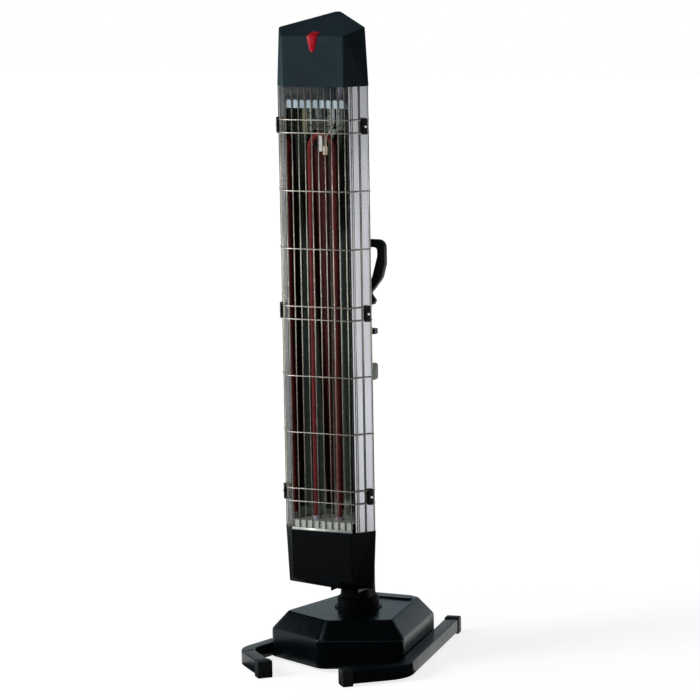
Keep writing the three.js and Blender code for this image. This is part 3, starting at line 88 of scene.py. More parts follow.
class Tree:
    """A material's node tree with short calls to build it."""

    def __init__(self, name):
        self.material = bpy.data.materials.new(name)
        self.material.use_nodes = True
        self.nodes = self.material.node_tree.nodes
        self.links = self.material.node_tree.links
        self.bsdf = self.nodes["Principled BSDF"]
        self.output = self.nodes["Material Output"]
        self.place = self.nodes.new("ShaderNodeTexCoord").outputs["Object"]

    def link(self, source, target):
        self.links.new(source, target)

    def noise(self, scale, detail=4.0, rough=0.55, stretch=(1, 1, 1), distortion=0.0):
        mapping = self.nodes.new("ShaderNodeMapping")
        mapping.inputs["Scale"].default_value = stretch
        self.link(self.place, mapping.inputs["Vector"])
        node = self.nodes.new("ShaderNodeTexNoise")
        node.inputs["Scale"].default_value = scale
        node.inputs["Detail"].default_value = detail
        node.inputs["Roughness"].default_value = rough
        node.inputs["Distortion"].default_value = distortion
        self.link(mapping.outputs["Vector"], node.inputs["Vector"])
        return node.outputs["Fac"]

    def cells(self, scale):
        node = self.nodes.new("ShaderNodeTexVoronoi")
        node.inputs["Scale"].default_value = scale
        self.link(self.place, node.inputs["Vector"])
        return node.outputs["Distance"]

    def ranged(self, source, low, high, from_low=0.3, from_high=0.7):
        """The source's middle range spread from low to high."""
        node = self.nodes.new("ShaderNodeMapRange")
        node.inputs["From Min"].default_value = from_low
        node.inputs["From Max"].default_value = from_high
        node.inputs["To Min"].default_value = low
        node.inputs["To Max"].default_value = high
        self.link(source, node.inputs["Value"])
        return node.outputs["Result"]

    def blend(self, factor, first, second):
        """Mix of two tones, each a colour or another node's output."""
        node = self.nodes.new("ShaderNodeMix")
        node.data_type = "RGBA"
        self.link(factor, node.inputs["Factor"])
        for socket, value in ((node.inputs["A"], first), (node.inputs["B"], second)):
            if isinstance(value, tuple):
                socket.default_value = value
            else:
                self.link(value, socket)
        return node.outputs["Result"]

    def bump(self, height, strength, distance, below=None):
        node = self.nodes.new("ShaderNodeBump")
        node.inputs["Strength"].default_value = strength
        node.inputs["Distance"].default_value = distance
        self.link(height, node.inputs["Height"])
        if below is not None:
            self.link(below, node.inputs["Normal"])
        return node.outputs["Normal"]

    def colour(self, source):
        self.link(source, self.bsdf.inputs["Base Color"])

    def roughness(self, source):
        self.link(source, self.bsdf.inputs["Roughness"])

    def normal(self, source):
        self.link(source, self.bsdf.inputs["Normal"])

    def set(self, **values):
        for key, value in values.items():
            self.bsdf.inputs[key.replace("_", " ")].default_value = value


def shade(colour, factor):
    return tuple(min(c * factor, 1.0) for c in colour[:3]) + (1.0,)


DUST_PALENESS = 14  # how much paler a fully dusty plastic gets


def moulded(name, colour, rough=(0.34, 0.5), grain=1100, depth=0.00006, specular=0.5, dust=0.06):
    """Moulded plastic with a fine spark-eroded grain, faint flow marks and a little dust."""
    tree = Tree(name)
    tree.set(Specular_IOR_Level=specular)
    cloud = tree.noise(9, detail=5)
    fine = tree.noise(grain, detail=2, rough=0.7)
    flow = tree.noise(30, detail=3, stretch=(1, 1, 0.25), distortion=0.6)
    tone = tree.blend(tree.ranged(cloud, 0, 1), shade(colour, 0.8), shade(colour, 1.25))
    pale = shade(colour, 1.0 + DUST_PALENESS * dust)
    tree.colour(tree.blend(tree.ranged(fine, 0, 0.35, 0.52, 0.8), tone, pale))
    tree.roughness(tree.ranged(flow, *rough))
    grained = tree.bump(fine, 0.5, depth)
    tree.normal(tree.bump(flow, 0.12, depth * 4, grained))
    return tree.material


def glossy(name, colour, rough=(0.1, 0.22), waviness=0.00002, specular=0.5, sheen=(1, 1, 1, 1)):
    """Gloss paint or gloss moulding with orange peel and faint rub marks."""
    tree = Tree(name)
    tree.set(Specular_IOR_Level=specular, Specular_Tint=sheen)
    peel = tree.noise(160, detail=2)
    rub = tree.noise(24, detail=6, rough=0.7, distortion=1.2)
    cloud = tree.noise(6, detail=4)
    tree.colour(tree.blend(tree.ranged(cloud, 0, 1), shade(colour, 0.8), shade(colour, 1.3)))
    tree.roughness(tree.ranged(rub, *rough))
    tree.normal(tree.bump(peel, 0.25, waviness))
    return tree.material


def sheet_metal(
    name, colour, rough=(0.16, 0.26), grain=(70, 70, 0.5), depth=0.000006, streak=0.86, tint=None, metal=1.0
):
    """Rolled or plated sheet: long grain marks, a slow change to a second tone and a few faint smears; on
    the top end plate these tones are painted reflection.
    """
    tree = Tree(name)
    tree.set(Metallic=metal)
    lines = tree.noise(5, detail=4, rough=0.6, stretch=grain)
    cloud = tree.noise(3, detail=3, distortion=0.5)
    smear = tree.noise(22, detail=4, rough=0.6, stretch=(1, 1, 0.25))
    base = tree.blend(tree.ranged(lines, 0, 1), shade(colour, streak), shade(colour, 1.06))
    second = tint if tint else shade(colour, 0.9)
    tree.colour(tree.blend(tree.ranged(cloud, 0, 0.5), base, second))
    tree.roughness(tree.ranged(smear, *rough))
    tree.normal(tree.bump(lines, 0.3, depth))
    return tree.material


def plated(name, colour, rough=(0.08, 0.2), metal=1.0):
    """Bright plated wire or screw with draw marks and small stains."""
    tree = Tree(name)
    tree.set(Metallic=metal)
    stain = tree.noise(55, detail=5, rough=0.65)
    draw = tree.noise(300, detail=2, stretch=(1, 1, 0.3))
    tree.colour(tree.blend(tree.ranged(stain, 0, 0.7, 0.4, 0.75), colour, shade(colour, 0.72)))
    tree.roughness(tree.ranged(stain, *rough))
    tree.normal(tree.bump(draw, 0.2, 0.00002))
    return tree.material


def rubbery(name, colour, rough=(0.55, 0.78)):
    """Matt rubber with a fine skin and paler scuffs."""
    tree = Tree(name)
    tree.set(Specular_IOR_Level=0.35)
    fine = tree.noise(700, detail=3, rough=0.7)
    scuff = tree.noise(45, detail=6, rough=0.7, distortion=0.8)
    tree.colour(tree.blend(tree.ranged(scuff, 0, 1, 0.45, 0.75), shade(colour, 0.85), shade(colour, 1.9)))
    tree.roughness(tree.ranged(scuff, *rough))
    tree.normal(tree.bump(fine, 0.5, 0.0001))
    return tree.material


def fired(name, colour, rough=(0.3, 0.5), glaze=0.3):
    """Ceramic with fine pits, faint soot and a thin glaze."""
    tree = Tree(name)
    tree.set(Coat_Weight=glaze, Coat_Roughness=0.2)
    pits = tree.cells(900)
    soot = tree.noise(60, detail=5, rough=0.65)
    tree.colour(tree.blend(tree.ranged(soot, 0, 0.6, 0.5, 0.8), colour, shade(colour, 0.5)))
    tree.roughness(tree.ranged(soot, *rough))
    tree.normal(tree.bump(pits, 0.2, 0.0001))
    return tree.material


# Heights in metres between which the clamp's ceramic gives way to its steel stem
STEM_FOOT_Z = (1.1692, 1.1696)


def saddle(name):
    """Matt white ceramic saddle whose stem above it is dull steel."""
    tree = Tree(name)
    soot = tree.noise(60, detail=5, rough=0.65)
    split = tree.nodes.new("ShaderNodeSeparateXYZ")
    tree.link(tree.place, split.inputs[0])
    steel = tree.ranged(split.outputs["Z"], 0, 1, *STEM_FOOT_Z)
    white = tree.blend(tree.ranged(soot, 0, 0.6, 0.5, 0.8), srgb(240, 238, 232), srgb(150, 144, 136))
    tree.colour(tree.blend(steel, white, srgb(70, 70, 68)))
    tree.link(steel, tree.bsdf.inputs["Metallic"])
    tree.roughness(tree.ranged(soot, 0.35, 0.5))
    tree.normal(tree.bump(tree.cells(900), 0.2, 0.0001))
    return tree.material


def oxide_sheath(name):
    """Heater sheath: dark red oxide, mottled, with greyer stretches and fine draw lines."""
    tree = Tree(name)
    tree.set(Metallic=0.35, Specular_IOR_Level=0.5)
    mottle = tree.noise(70, detail=6, rough=0.65)
    bands = tree.noise(7, detail=3, stretch=(1, 1, 0.6))
    lines = tree.noise(400, detail=2, stretch=(1, 1, 0.05))
    red = tree.blend(tree.ranged(mottle, 0, 1), srgb(104, 30, 34), srgb(150, 48, 48))
    tree.colour(tree.blend(tree.ranged(bands, 0, 0.6, 0.45, 0.75), red, srgb(92, 52, 56)))
    tree.roughness(tree.ranged(mottle, 0.34, 0.56))
    tree.normal(tree.bump(lines, 0.3, 0.00004, tree.bump(mottle, 0.2, 0.0001)))
    return tree.material


def cast(name, colour):
    """Sand-cast iron with a little rust."""
    tree = Tree(name)
    tree.set(Metallic=0.4)
    sand = tree.noise(420, detail=5, rough=0.7)
    rust = tree.noise(26, detail=6, rough=0.65)
    tree.colour(tree.blend(tree.ranged(rust, 0, 0.5, 0.5, 0.75), colour, srgb(96, 62, 44)))
    tree.roughness(tree.ranged(sand, 0.55, 0.85))
    tree.normal(tree.bump(sand, 0.7, 0.0004))
    return tree.material


def lens_plastic(name, colour):
    """Translucent coloured plastic with ribs moulded across it."""
    tree = Tree(name)
    tree.set(Subsurface_Weight=0.1, Subsurface_Radius=(0.004, 0.001, 0.001), Specular_IOR_Level=0.3)
    cloud = tree.noise(120, detail=3)
    tree.colour(tree.blend(tree.ranged(cloud, 0, 1), colour, shade(colour, 1.35)))
    tree.roughness(tree.ranged(cloud, 0.14, 0.26))
    wave = tree.nodes.new("ShaderNodeTexWave")
    wave.bands_direction = "X"
    wave.inputs["Scale"].default_value = 160
    tree.link(tree.place, wave.inputs["Vector"])
    tree.normal(tree.bump(wave.outputs["Fac"], 0.25, 0.0003))
    return tree.material


def soft_clear(name):
    """Milky soft cover, slightly see-through, with a dusty skin."""
    tree = Tree(name)
    tree.set(Transmission_Weight=0.15, IOR=1.4)
    tree.set(Subsurface_Weight=0.2, Subsurface_Radius=(0.004, 0.004, 0.004))
    dust = tree.noise(150, detail=5, rough=0.7)
    tree.colour(tree.blend(tree.ranged(dust, 0, 1), srgb(238, 248, 238), srgb(214, 226, 214)))
    tree.roughness(tree.ranged(dust, 0.28, 0.5))
    tree.normal(tree.bump(dust, 0.3, 0.0001))
    return tree.material


REFLECTOR_TONE = srgb(160, 166, 162)
REFLECTOR_TINT = srgb(120, 130, 124)
# Tones of the top end plate's tabs: a pale sheet whose white and blue from tab to tab are painted
# reflection
TAB_TONE = srgb(232, 242, 246)
TAB_PAINTED_REFLECTION_BLUE = srgb(120, 172, 196)
BLACK = srgb(9, 12, 15)
# Black plastic like the bottom cap's, made a lighter blue-grey: painted light, so that the top cap's front
# shows lit
CAP_BLACK_PAINTED_LIGHTER = srgb(35, 50, 57)
GLOSS_BLACK = srgb(5, 9, 11)
TUBE_BLACK = srgb(16, 21, 24)
CERAMIC = srgb(160, 152, 172)
STEEL = srgb(176, 180, 184)
SHEET = srgb(206, 208, 214)
COLD = (0.62, 0.9, 1.0, 1)  # tint of the light that the gloss pieces mirror

LOOKS = {
    # Top cap: black plastic with painted light, a lighter blue-grey than the bottom cap
    "top_cap": moulded("top_cap_plastic", CAP_BLACK_PAINTED_LIGHTER, rough=(0.26, 0.36), specular=0.12, dust=0.02),
    "bottom_cap": moulded("bottom_cap_plastic", BLACK, rough=(0.26, 0.36), specular=0.1, dust=0.02),
    "neck_collar": moulded("neck_plastic", BLACK, rough=(0.5, 0.6), specular=0.05, dust=0.02),
    "swivel_flange": moulded("flange_plastic", BLACK, rough=(0.4, 0.5), specular=0.12, dust=0.02),
    "rear_column": moulded("column_plastic", BLACK, rough=(0.34, 0.5), specular=0.25),
    "column_lid": moulded("lid_plastic", BLACK, rough=(0.34, 0.5), specular=0.25),
    "carry_handle": moulded(
        "handle_plastic", BLACK, rough=(0.34, 0.5), grain=800, depth=0.0001, specular=0.2
    ),
    "power_knob": moulded("knob_plastic", BLACK, rough=(0.28, 0.42), specular=0.3),
    "power_switch": moulded("switch_plastic", srgb(38, 40, 42)),
    "rotary_switch": moulded("rotary_phenolic", srgb(84, 64, 48), rough=(0.45, 0.6)),
    "terminal_block": moulded("terminal_phenolic", srgb(88, 68, 50), rough=(0.45, 0.6)),
    "tip_over_switch": moulded("tip_phenolic", srgb(70, 56, 44), rough=(0.45, 0.6)),
    "tip_over_plunger": moulded("plunger_nylon", srgb(216, 210, 196), rough=(0.35, 0.5), dust=0.0),
    "power_rocker": glossy("rocker_red", srgb(150, 30, 32)),
    "base_cover": glossy("base_gloss", GLOSS_BLACK, rough=(0.16, 0.26), specular=0.19, sheen=COLD),
    "foot_tube_left": glossy("tube_paint_left", TUBE_BLACK, rough=(0.2, 0.32), specular=0.16, sheen=COLD),
    "foot_tube_right": glossy("tube_paint_right", TUBE_BLACK, rough=(0.2, 0.32), specular=0.16, sheen=COLD),
    "cross_bar_front": glossy("bar_paint_front", GLOSS_BLACK, rough=(0.2, 0.36)),
    "cross_bar_rear": glossy("bar_paint_rear", GLOSS_BLACK, rough=(0.2, 0.36)),
    "pilot_lens": lens_plastic("lens_red", srgb(172, 12, 32)),
    "roof_screw": plated("roof_screw_plate", srgb(150, 154, 158)),
    "body_shell": sheet_metal("shell_sheet", SHEET),
    "reflector": sheet_metal(
        "reflector_sheet", REFLECTOR_TONE, rough=(0.02, 0.07), streak=0.6, tint=REFLECTOR_TINT
    ),
    # Coarse grain, strong streak and the blue tint give each tab its own painted reflection
    "top_end_plate": sheet_metal(
        "top_end_sheet", TAB_TONE, grain=(13, 13, 0.3), streak=0.4, tint=TAB_PAINTED_REFLECTION_BLUE, metal=0.35
    ),
    "bottom_end_plate": sheet_metal("bottom_end_sheet", srgb(226, 232, 224), rough=(0.3, 0.42), metal=0.5),
    "heating_element": oxide_sheath("element_oxide"),
    "element_collar_left": fired("collar_ceramic_left", CERAMIC),
    "element_collar_right": fired("collar_ceramic_right", CERAMIC),
    "element_clamp": saddle("clamp_ceramic"),
    "thermal_cutout": fired("cutout_ceramic", srgb(240, 228, 200)),
    "hanger_strap_left": sheet_metal("khaki_strap", srgb(156, 152, 126), rough=(0.3, 0.45)),
    "hanger_strap_right": sheet_metal("pale_strap", srgb(196, 206, 214), rough=(0.2, 0.35)),
    "hook_rod": plated("hook_plate", STEEL, rough=(0.15, 0.3)),
    "head_bracket_low": sheet_metal("bracket_steel_low", STEEL),
    "head_bracket_high": sheet_metal("bracket_steel_high", STEEL),
    "swivel_post": sheet_metal("post_steel", STEEL),
    "swivel_bearing": cast("bearing_iron", srgb(66, 66, 68)),
    "ballast_block": cast("ballast_iron", srgb(60, 60, 62)),
    "base_plate": sheet_metal("plate_steel", STEEL),
    "plate_bolt_left": plated("bolt_left_plate", STEEL),
    "plate_bolt_right": plated("bolt_right_plate", STEEL),
    "cord_gland": rubbery("gland_rubber", srgb(26, 27, 28)),
    "drip_cover": soft_clear("cover_silicone"),
}
WIRE = plated("guard_plate", srgb(226, 221, 208), rough=(0.16, 0.3), metal=0.75)
BOOT = rubbery("boot_rubber", srgb(22, 26, 28), rough=(0.45, 0.65))
CLIP = moulded("clip_plastic", srgb(14, 15, 17), rough=(0.3, 0.45), specular=0.2, dust=0.02)
SCREW = plated("clip_screw_plate", srgb(222, 224, 228))
for node in NODES:
    if node.startswith("boot_"):
        LOOKS[node] = BOOT
    elif node.startswith("guard_clip_screw"):
        LOOKS[node] = SCREW
    elif node.startswith("guard_clip"):
        LOOKS[node] = CLIP
LOOKS["wire_guard"] = WIRE


def put_on(obj, material):
    obj.data.materials.clear()
    obj.data.materials.append(material)


# Edge rounding that the facets of the solids leave out, in metres
ROUNDING = {
    "base_cover": 0.0012,
    "bottom_cap": 0.0005,
    "carry_handle": 0.0008,
    "column_lid": 0.0008,
    "drip_cover": 0.0004,
    "foot_tube_left": 0.0022,
    "foot_tube_right": 0.0022,
    "neck_collar": 0.0006,
    "pilot_lens": 0.0006,
    "power_knob": 0.0008,
    "rear_column": 0.0006,
    "terminal_block": 0.001,
    "top_cap": 0.0005,
}
DEFAULT_ROUNDING = 0.0003
FLAT_FACED = ("top_cap", "bottom_cap")
SHARP_ANGLE = math.radians(28)
WELD_REACH = 0.00001


def soften(obj, width, flat):
    """Small bevels on the sharp edges; a flat-faced piece keeps its facets' own shading."""
    obj.data.polygons.foreach_set("use_smooth", [not flat] * len(obj.data.polygons))
    weld = obj.modifiers.new("weld", "WELD")
    weld.merge_threshold = WELD_REACH
    bevel = obj.modifiers.new("bevel", "BEVEL")
    bevel.width = width
    bevel.segments = 2
    bevel.limit_method = "ANGLE"
    bevel.angle_limit = SHARP_ANGLE
    bevel.use_clamp_overlap = True
    if not flat:
        weighted = obj.modifiers.new("weighted", "WEIGHTED_NORMAL")
        weighted.keep_sharp = True


for name, obj in NODES.items():
    put_on(obj, LOOKS[name])
    if name != "wire_guard":
        soften(obj, ROUNDING.get(name, DEFAULT_ROUNDING), name in FLAT_FACED)


# ---------------------------------------------------------------- new pieces
def new_object(name, bm, material, body):
    """Piece that rides on a body."""
    mesh = bpy.data.meshes.new(name)
    bmesh.ops.recalc_face_normals(bm, faces=bm.faces)
    bm.to_mesh(mesh)
    bm.free()
    obj = bpy.data.objects.new(name, mesh)
    bpy.context.scene.collection.objects.link(obj)
    mesh.polygons.foreach_set("use_smooth", [True] * len(mesh.polygons))
    put_on(obj, material)
    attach(obj, body)
    return obj


def sweep(bm, path, radius, sides=10):
    """Round bar along a path of points, closed at both ends."""
    spots = [Vector(p) for p in path]
    rings = []
    side = None
    for i, spot in enumerate(spots):
        back = (spot - spots[i - 1]).normalized() if i else None
        ahead = (spots[i + 1] - spot).normalized() if i < len(spots) - 1 else None
        along = ((back or ahead) + (ahead or back)).normalized()
        if side is None:
            side = along.cross(Vector((0, 1, 0)) if abs(along.z) > 0.9 else Vector((0, 0, 1)))
        side = (side - along * side.dot(along)).normalized()
        lift = along.cross(side)
        verts = []
        for j in range(sides):
            angle = 2 * math.pi * (j + 0.5) / sides
            across, over = radius * math.cos(angle), radius * math.sin(angle)
            verts.append(bm.verts.new(spot + side * across + lift * over))
        rings.append(verts)
    for low, high in zip(rings, rings[1:]):
        for j in range(sides):
            k = (j + 1) % sides
            bm.faces.new((low[j], low[k], high[k], high[j]))
    bm.faces.new(list(reversed(rings[0])))
    bm.faces.new(rings[-1])


# Guard of round wires, in millimetres and in the solid guard's own places
MM = 0.001
WIRE_RADIUS = 1.25
WIRE_STEP = 2.05  # from the uprights' line out to the cross wires' line
CROSS_END = 1.6  # how far a cross wire runs past the last upright
FRONT_Y = -169
PITCH = 15.75
FRONT_COUNT = 10
CORNER = (85.2, -160.6)
SIDE = (95.6, -145.8)
REAR = (107.2, -129.6)
PAIR_ZS = (388.5, 787.5, 1189.5)
PAIR_HALF = 14
LOW_RIM_Z = 311.5
TOP_RIM_Z = 1274.5
TUCK = 10
GAP = 0.3


def front_x(i):
    return (i - (FRONT_COUNT - 1) / 2) * PITCH


def cross_levels():
    """Heights of the cross wires: a pair at each clip and two more between neighbouring pairs."""
    levels = [z + s * PAIR_HALF for z in PAIR_ZS for s in (-1, 1)]
    for low, high in zip(PAIR_ZS, PAIR_ZS[1:]):
        start, end = low + PAIR_HALF, high - PAIR_HALF
        levels += [start + (end - start) / 3, start + 2 * (end - start) / 3]
    return levels


def outward_path():
    """The uprights' line moved outwards by the wire step, from left rear to right rear."""
    half = [(front_x(FRONT_COUNT - 1), FRONT_Y), CORNER, REAR]
    line = [(-x, y) for x, y in reversed(half)] + half
    normals = []
    for (x0, y0), (x1, y1) in zip(line, line[1:]):
        length = math.hypot(x1 - x0, y1 - y0)
        normals.append(Vector(((y1 - y0) / length, -(x1 - x0) / length)))
    points = []
    for i, spot in enumerate(line):
        before = normals[max(i - 1, 0)]
        after = normals[min(i, len(normals) - 1)]
        out = (before + after).normalized()
        points.append(Vector(spot) + out * (WIRE_STEP / out.dot(after)))
    for end, inner in ((0, 1), (-1, -2)):
        points[end] = points[end] + (points[end] - points[inner]).normalized() * CROSS_END
    return points


def add_guard():
    """All round wires of the guard in one piece, in the plain solid guard's stead."""
    bm = bmesh.new()
    uprights = [(front_x(i), FRONT_Y, LOW_RIM_Z - TUCK, TOP_RIM_Z + TUCK) for i in range(FRONT_COUNT)]
    for x, y in (CORNER, SIDE, REAR):
        for s in (-1, 1):
            uprights.append((s * x, y, LOW_RIM_Z + GAP, TOP_RIM_Z - GAP))
    for x, y, low, high in uprights:
        sweep(bm, [(x * MM, y * MM, low * MM), (x * MM, y * MM, high * MM)], WIRE_RADIUS * MM)
    path = outward_path()
    for z in cross_levels():
        sweep(bm, [(p.x * MM, p.y * MM, z * MM) for p in path], WIRE_RADIUS * MM)
    guard = new_object("guard_wires", bm, WIRE, "tower")
    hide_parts("wire_guard")


add_guard()


def block(bm, low, high, edge):
    """Box with chamfered long edges along X, in millimetres."""
    (x0, y0, z0), (x1, y1, z1) = low, high
    outline = [
        (y0 + edge, z0), (y1 - edge, z0), (y1, z0 + edge), (y1, z1 - edge),
        (y1 - edge, z1), (y0 + edge, z1), (y0, z1 - edge), (y0, z0 + edge),
    ]
    ends = [[bm.verts.new((x * MM, y * MM, z * MM)) for y, z in outline] for x in (x0, x1)]
    for i in range(len(outline)):
        k = (i + 1) % len(outline)
        bm.faces.new((ends[0][i], ends[0][k], ends[1][k], ends[1][i]))
    bm.faces.new(ends[0])
    bm.faces.new(ends[1])


LIP_HALF = 72.5
LIP_YS = (-171.3, -170.6)
LIP_ZS = (305, 316.5)
LIP_CHAMFER = 0.2


def add_front_lip():
    """Folded lip of the lower end plate that stands before the feet of the guard's bars."""
    bm = bmesh.new()
    block(bm, (-LIP_HALF, LIP_YS[0], LIP_ZS[0]), (LIP_HALF, LIP_YS[1], LIP_ZS[1]), LIP_CHAMFER)
    new_object("guard_foot_lip", bm, LOOKS["bottom_end_plate"], "tower")


add_front_lip()


# ---------------------------------------------------------------- stage and light
WHITE = (1, 1, 1, 1)
FLOOR_SIZE = 40
FLOOR_DROP = 0.0003
FLOOR_GREYS = ((0.42, 0.42, 0.42, 1), (0.45, 0.45, 0.45, 1))
FLOOR_GLOW = 0.82  # near the feet, so that the shadow shows
FAR_GLOW = 0.97
GLOW_REACH = (0.4, 2.5)  # distances between which the glow rises
WORLD_FILL = 0.05


def seen_by_eye_or_mirror(nodes, links):
    """1 for camera, glossy and transmission rays, otherwise 0."""
    path = nodes.new("ShaderNodeLightPath")
    total = path.outputs["Is Camera Ray"]
    for name in ("Is Glossy Ray", "Is Transmission Ray"):
        high = nodes.new("ShaderNodeMath")
        high.operation = "MAXIMUM"
        links.new(total, high.inputs[0])
        links.new(path.outputs[name], high.inputs[1])
        total = high.outputs["Value"]
    return total


def add_floor():
    """Pale paper that keeps the shadow and glows to the eye and to mirrors."""
    bpy.ops.mesh.primitive_plane_add(size=FLOOR_SIZE, location=(0, 0, -FLOOR_DROP))
    floor = bpy.context.object
    floor.name = "floor"
    tree = Tree("floor_paper")
    fine = tree.noise(40, detail=3)
    tree.colour(tree.blend(tree.ranged(fine, 0, 1), *FLOOR_GREYS))
    tree.roughness(tree.ranged(fine, 0.75, 0.85))
    tree.set(Specular_IOR_Level=0.1)
    glow = tree.nodes.new("ShaderNodeEmission")
    glow.inputs["Color"].default_value = WHITE
    far = tree.nodes.new("ShaderNodeVectorMath")
    far.operation = "LENGTH"
    tree.link(tree.place, far.inputs[0])
    strength = tree.nodes.new("ShaderNodeMath")
    strength.operation = "MULTIPLY"
    tree.link(tree.ranged(far.outputs["Value"], FLOOR_GLOW, FAR_GLOW, *GLOW_REACH), strength.inputs[1])
    tree.link(seen_by_eye_or_mirror(tree.nodes, tree.links), strength.inputs[0])
    tree.link(strength.outputs["Value"], glow.inputs["Strength"])
    total = tree.nodes.new("ShaderNodeAddShader")
    tree.link(tree.bsdf.outputs["BSDF"], total.inputs[0])
    tree.link(glow.outputs["Emission"], total.inputs[1])
    tree.link(total.outputs["Shader"], tree.output.inputs["Surface"])
    put_on(floor, tree.material)


def add_world():
    """White to the eye and to mirrors, a weak even fill for everything else."""
    world = bpy.data.worlds.new("studio")
    bpy.context.scene.world = world
    world.use_nodes = True
    nodes, links = world.node_tree.nodes, world.node_tree.links
    nodes.clear()
    fill = nodes.new("ShaderNodeBackground")
    fill.inputs["Color"].default_value = WHITE
    fill.inputs["Strength"].default_value = WORLD_FILL
    white = nodes.new("ShaderNodeBackground")
    white.inputs["Color"].default_value = WHITE
    mix = nodes.new("ShaderNodeMixShader")
    links.new(seen_by_eye_or_mirror(nodes, links), mix.inputs["Fac"])
    links.new(fill.outputs["Background"], mix.inputs[1])
    links.new(white.outputs["Background"], mix.inputs[2])
    out = nodes.new("ShaderNodeOutputWorld")
    links.new(mix.outputs["Shader"], out.inputs["Surface"])


def card_material(name, level, tint):
    """Faintly woven cloth that only glows, at a level and in a tint."""
    tree = Tree(name)
    weave = tree.noise(60, detail=2)
    plain = tuple(level * c for c in tint)
    tone = tree.blend(tree.ranged(weave, 0, 1), shade(plain, 0.9), tuple(c * 1.1 for c in plain) + (1,))
    glow = tree.nodes.new("ShaderNodeEmission")
    tree.link(tone, glow.inputs["Color"])
    tree.link(glow.outputs["Emission"], tree.output.inputs["Surface"])
    return tree.material


def add_card(name, level, corners_list, tint=(1, 1, 1)):
    """A card that only polished surfaces see, as a flag beside a product shot."""
    bm = bmesh.new()
    for corners in corners_list:
        bm.faces.new([bm.verts.new(c) for c in corners])
    mesh = bpy.data.meshes.new(name)
    bm.to_mesh(mesh)
    bm.free()
    card = bpy.data.objects.new(name, mesh)
    bpy.context.scene.collection.objects.link(card)
    put_on(card, card_material(name, level, tint))
    card.visible_camera = False
    card.visible_diffuse = False
    card.visible_shadow = False


# Azimuth spans of the flags, in degrees; flat front faces mirror what stands in GAP_SPAN
LEFT_SPAN = (-50, -36)
GAP_SPAN = (-36, -16)
FRONT_SPAN = (-16, 60)
RIGHT_SPAN = (60, 105)
BACK_SPAN = (105, 215)
SIDE_SPAN = (215, 255)
SIDE_FLOOR_SPAN = (215, 262)
WHOLE_TURN = (0, 360)
OVERHEAD_SPAN = (-62, -16)

# Radii and heights of the flags, in metres
FLAG_RADIUS = 9
FLAG_TOP = 4
FLOOR_FLAG_Z = 0.0005
FLOOR_FLAG_START = 0.22
NEAR_END = 1.5
LOW_TOP = 0.6  # top of the grey wall behind the floor's grey ring
DARK_TOP = 1.8
GAP_DARK_END = 1.4
GAP_GREY_START = 1.95
GAP_DARK_TOP = 0.5
RIGHT_DARK_END = 1.45
RIGHT_DARK_LOW = 0.78
BACK_RADIUS = 4.2
BACK_LOW = 0.8
SIDE_DARK_LOW = 1.15
BACK_TOP = 3.4
ROOF_RADIUS = 6
WALL_FOOT = 0.001
# Card above the front, laid back so that round level bars catch it along their length
OVERHEAD_NEAR = (2.08, 4.0)
OVERHEAD_FAR = (3.25, 3.0)


def around(azimuth, radius, z):
    """Point at an azimuth in degrees, counted from the front towards the right side."""
    turn = math.radians(azimuth)
    return (radius * math.sin(turn), -radius * math.cos(turn), z)


def band(first, last, near, far, steps):
    """Faces between two arcs over an azimuth span; near and far are each a radius and a height."""
    turns = [first + (last - first) * i / steps for i in range(steps + 1)]
    pairs = zip(turns, turns[1:])
    return [[around(a, *near), around(b, *near), around(b, *far), around(a, *far)] for a, b in pairs]


def wall(span, radius, low, high, steps=8):
    return band(*span, (radius, low), (radius, high), steps)


def ring(span, inner, outer, steps=8):
    return band(*span, (inner, FLOOR_FLAG_Z), (outer, FLOOR_FLAG_Z), steps)


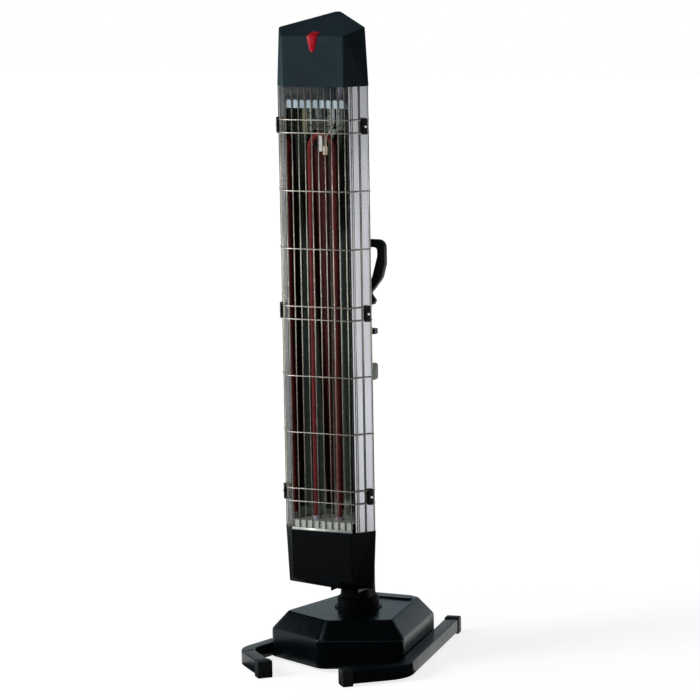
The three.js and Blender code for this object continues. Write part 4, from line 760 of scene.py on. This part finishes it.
def add_flags():
    """Cards around the heater, named for what they do to its mirrors."""
    dark, grey, upper = [], [], []
    for span in (LEFT_SPAN, FRONT_SPAN):
        dark += ring(span, FLOOR_FLAG_START, NEAR_END)
        grey += ring(span, NEAR_END, FLAG_RADIUS)
        grey += wall(span, FLAG_RADIUS, WALL_FOOT, LOW_TOP)
        dark += wall(span, FLAG_RADIUS, LOW_TOP, DARK_TOP)
        upper += wall(span, FLAG_RADIUS, DARK_TOP, FLAG_TOP)
    dark += ring(GAP_SPAN, FLOOR_FLAG_START, GAP_DARK_END, 3)
    grey += ring(GAP_SPAN, GAP_GREY_START, FLAG_RADIUS, 3)
    dark += wall(GAP_SPAN, FLAG_RADIUS, WALL_FOOT, GAP_DARK_TOP, 3)
    dark += ring(RIGHT_SPAN, FLOOR_FLAG_START, RIGHT_DARK_END, 6)
    dark += wall(RIGHT_SPAN, FLAG_RADIUS, RIGHT_DARK_LOW, FLAG_TOP, 6)
    dark += wall(SIDE_SPAN, BACK_RADIUS, SIDE_DARK_LOW, BACK_TOP, 5)
    dark += ring(SIDE_FLOOR_SPAN, FLOOR_FLAG_START, NEAR_END, 5)
    add_card("flag_front", 0.012, dark)
    add_card("flag_low", 0.2, grey, (0.88, 1, 0.94))
    add_card("flag_high", 0.5, upper)
    add_card("flag_roof", 0.02, band(*WHOLE_TURN, (0.0, BACK_TOP), (ROOF_RADIUS, BACK_TOP), 24))
    back = wall(BACK_SPAN, BACK_RADIUS, BACK_LOW, BACK_TOP, 10)
    back += wall(SIDE_SPAN, BACK_RADIUS, BACK_LOW, SIDE_DARK_LOW, 5)
    add_card("flag_back", 0.31, back, (0.6, 0.87, 1))
    side = wall(SIDE_SPAN, BACK_RADIUS, WALL_FOOT, BACK_LOW, 5)
    side += ring(SIDE_FLOOR_SPAN, NEAR_END, BACK_RADIUS, 5)
    add_card("flag_side", 0.5, side, (0.86, 0.95, 1))
    add_card("overhead_front", 5.0, band(*OVERHEAD_SPAN, OVERHEAD_NEAR, OVERHEAD_FAR, 1))


def add_lamp(name, spot, aim, size, power, mirrored=True):
    """Soft box of a size in metres and a power in watts, turned to a point."""
    data = bpy.data.lights.new(name, "AREA")
    data.shape = "RECTANGLE"
    data.size, data.size_y = size
    data.energy = power
    lamp = bpy.data.objects.new(name, data)
    lamp.visible_glossy = mirrored
    lamp.location = spot
    lamp.rotation_euler = (Vector(aim) - Vector(spot)).to_track_quat("-Z", "Y").to_euler()
    bpy.context.scene.collection.objects.link(lamp)


add_floor()
add_world()
add_flags()
add_lamp("key", spot=(-2.6, -3.2, 2.3), aim=(0, 0, 0.8), size=(1.6, 2.6), power=130, mirrored=False)
add_lamp("strip", spot=around(-58, 3.2, 1.1), aim=(0, 0, 1.1), size=(0.25, 2.2), power=14)
add_lamp("top", spot=(0.2, 0.6, 3.6), aim=(0, 0, 0), size=(2.4, 2.4), power=12)

bpy.context.scene.view_settings.view_transform = "Standard"
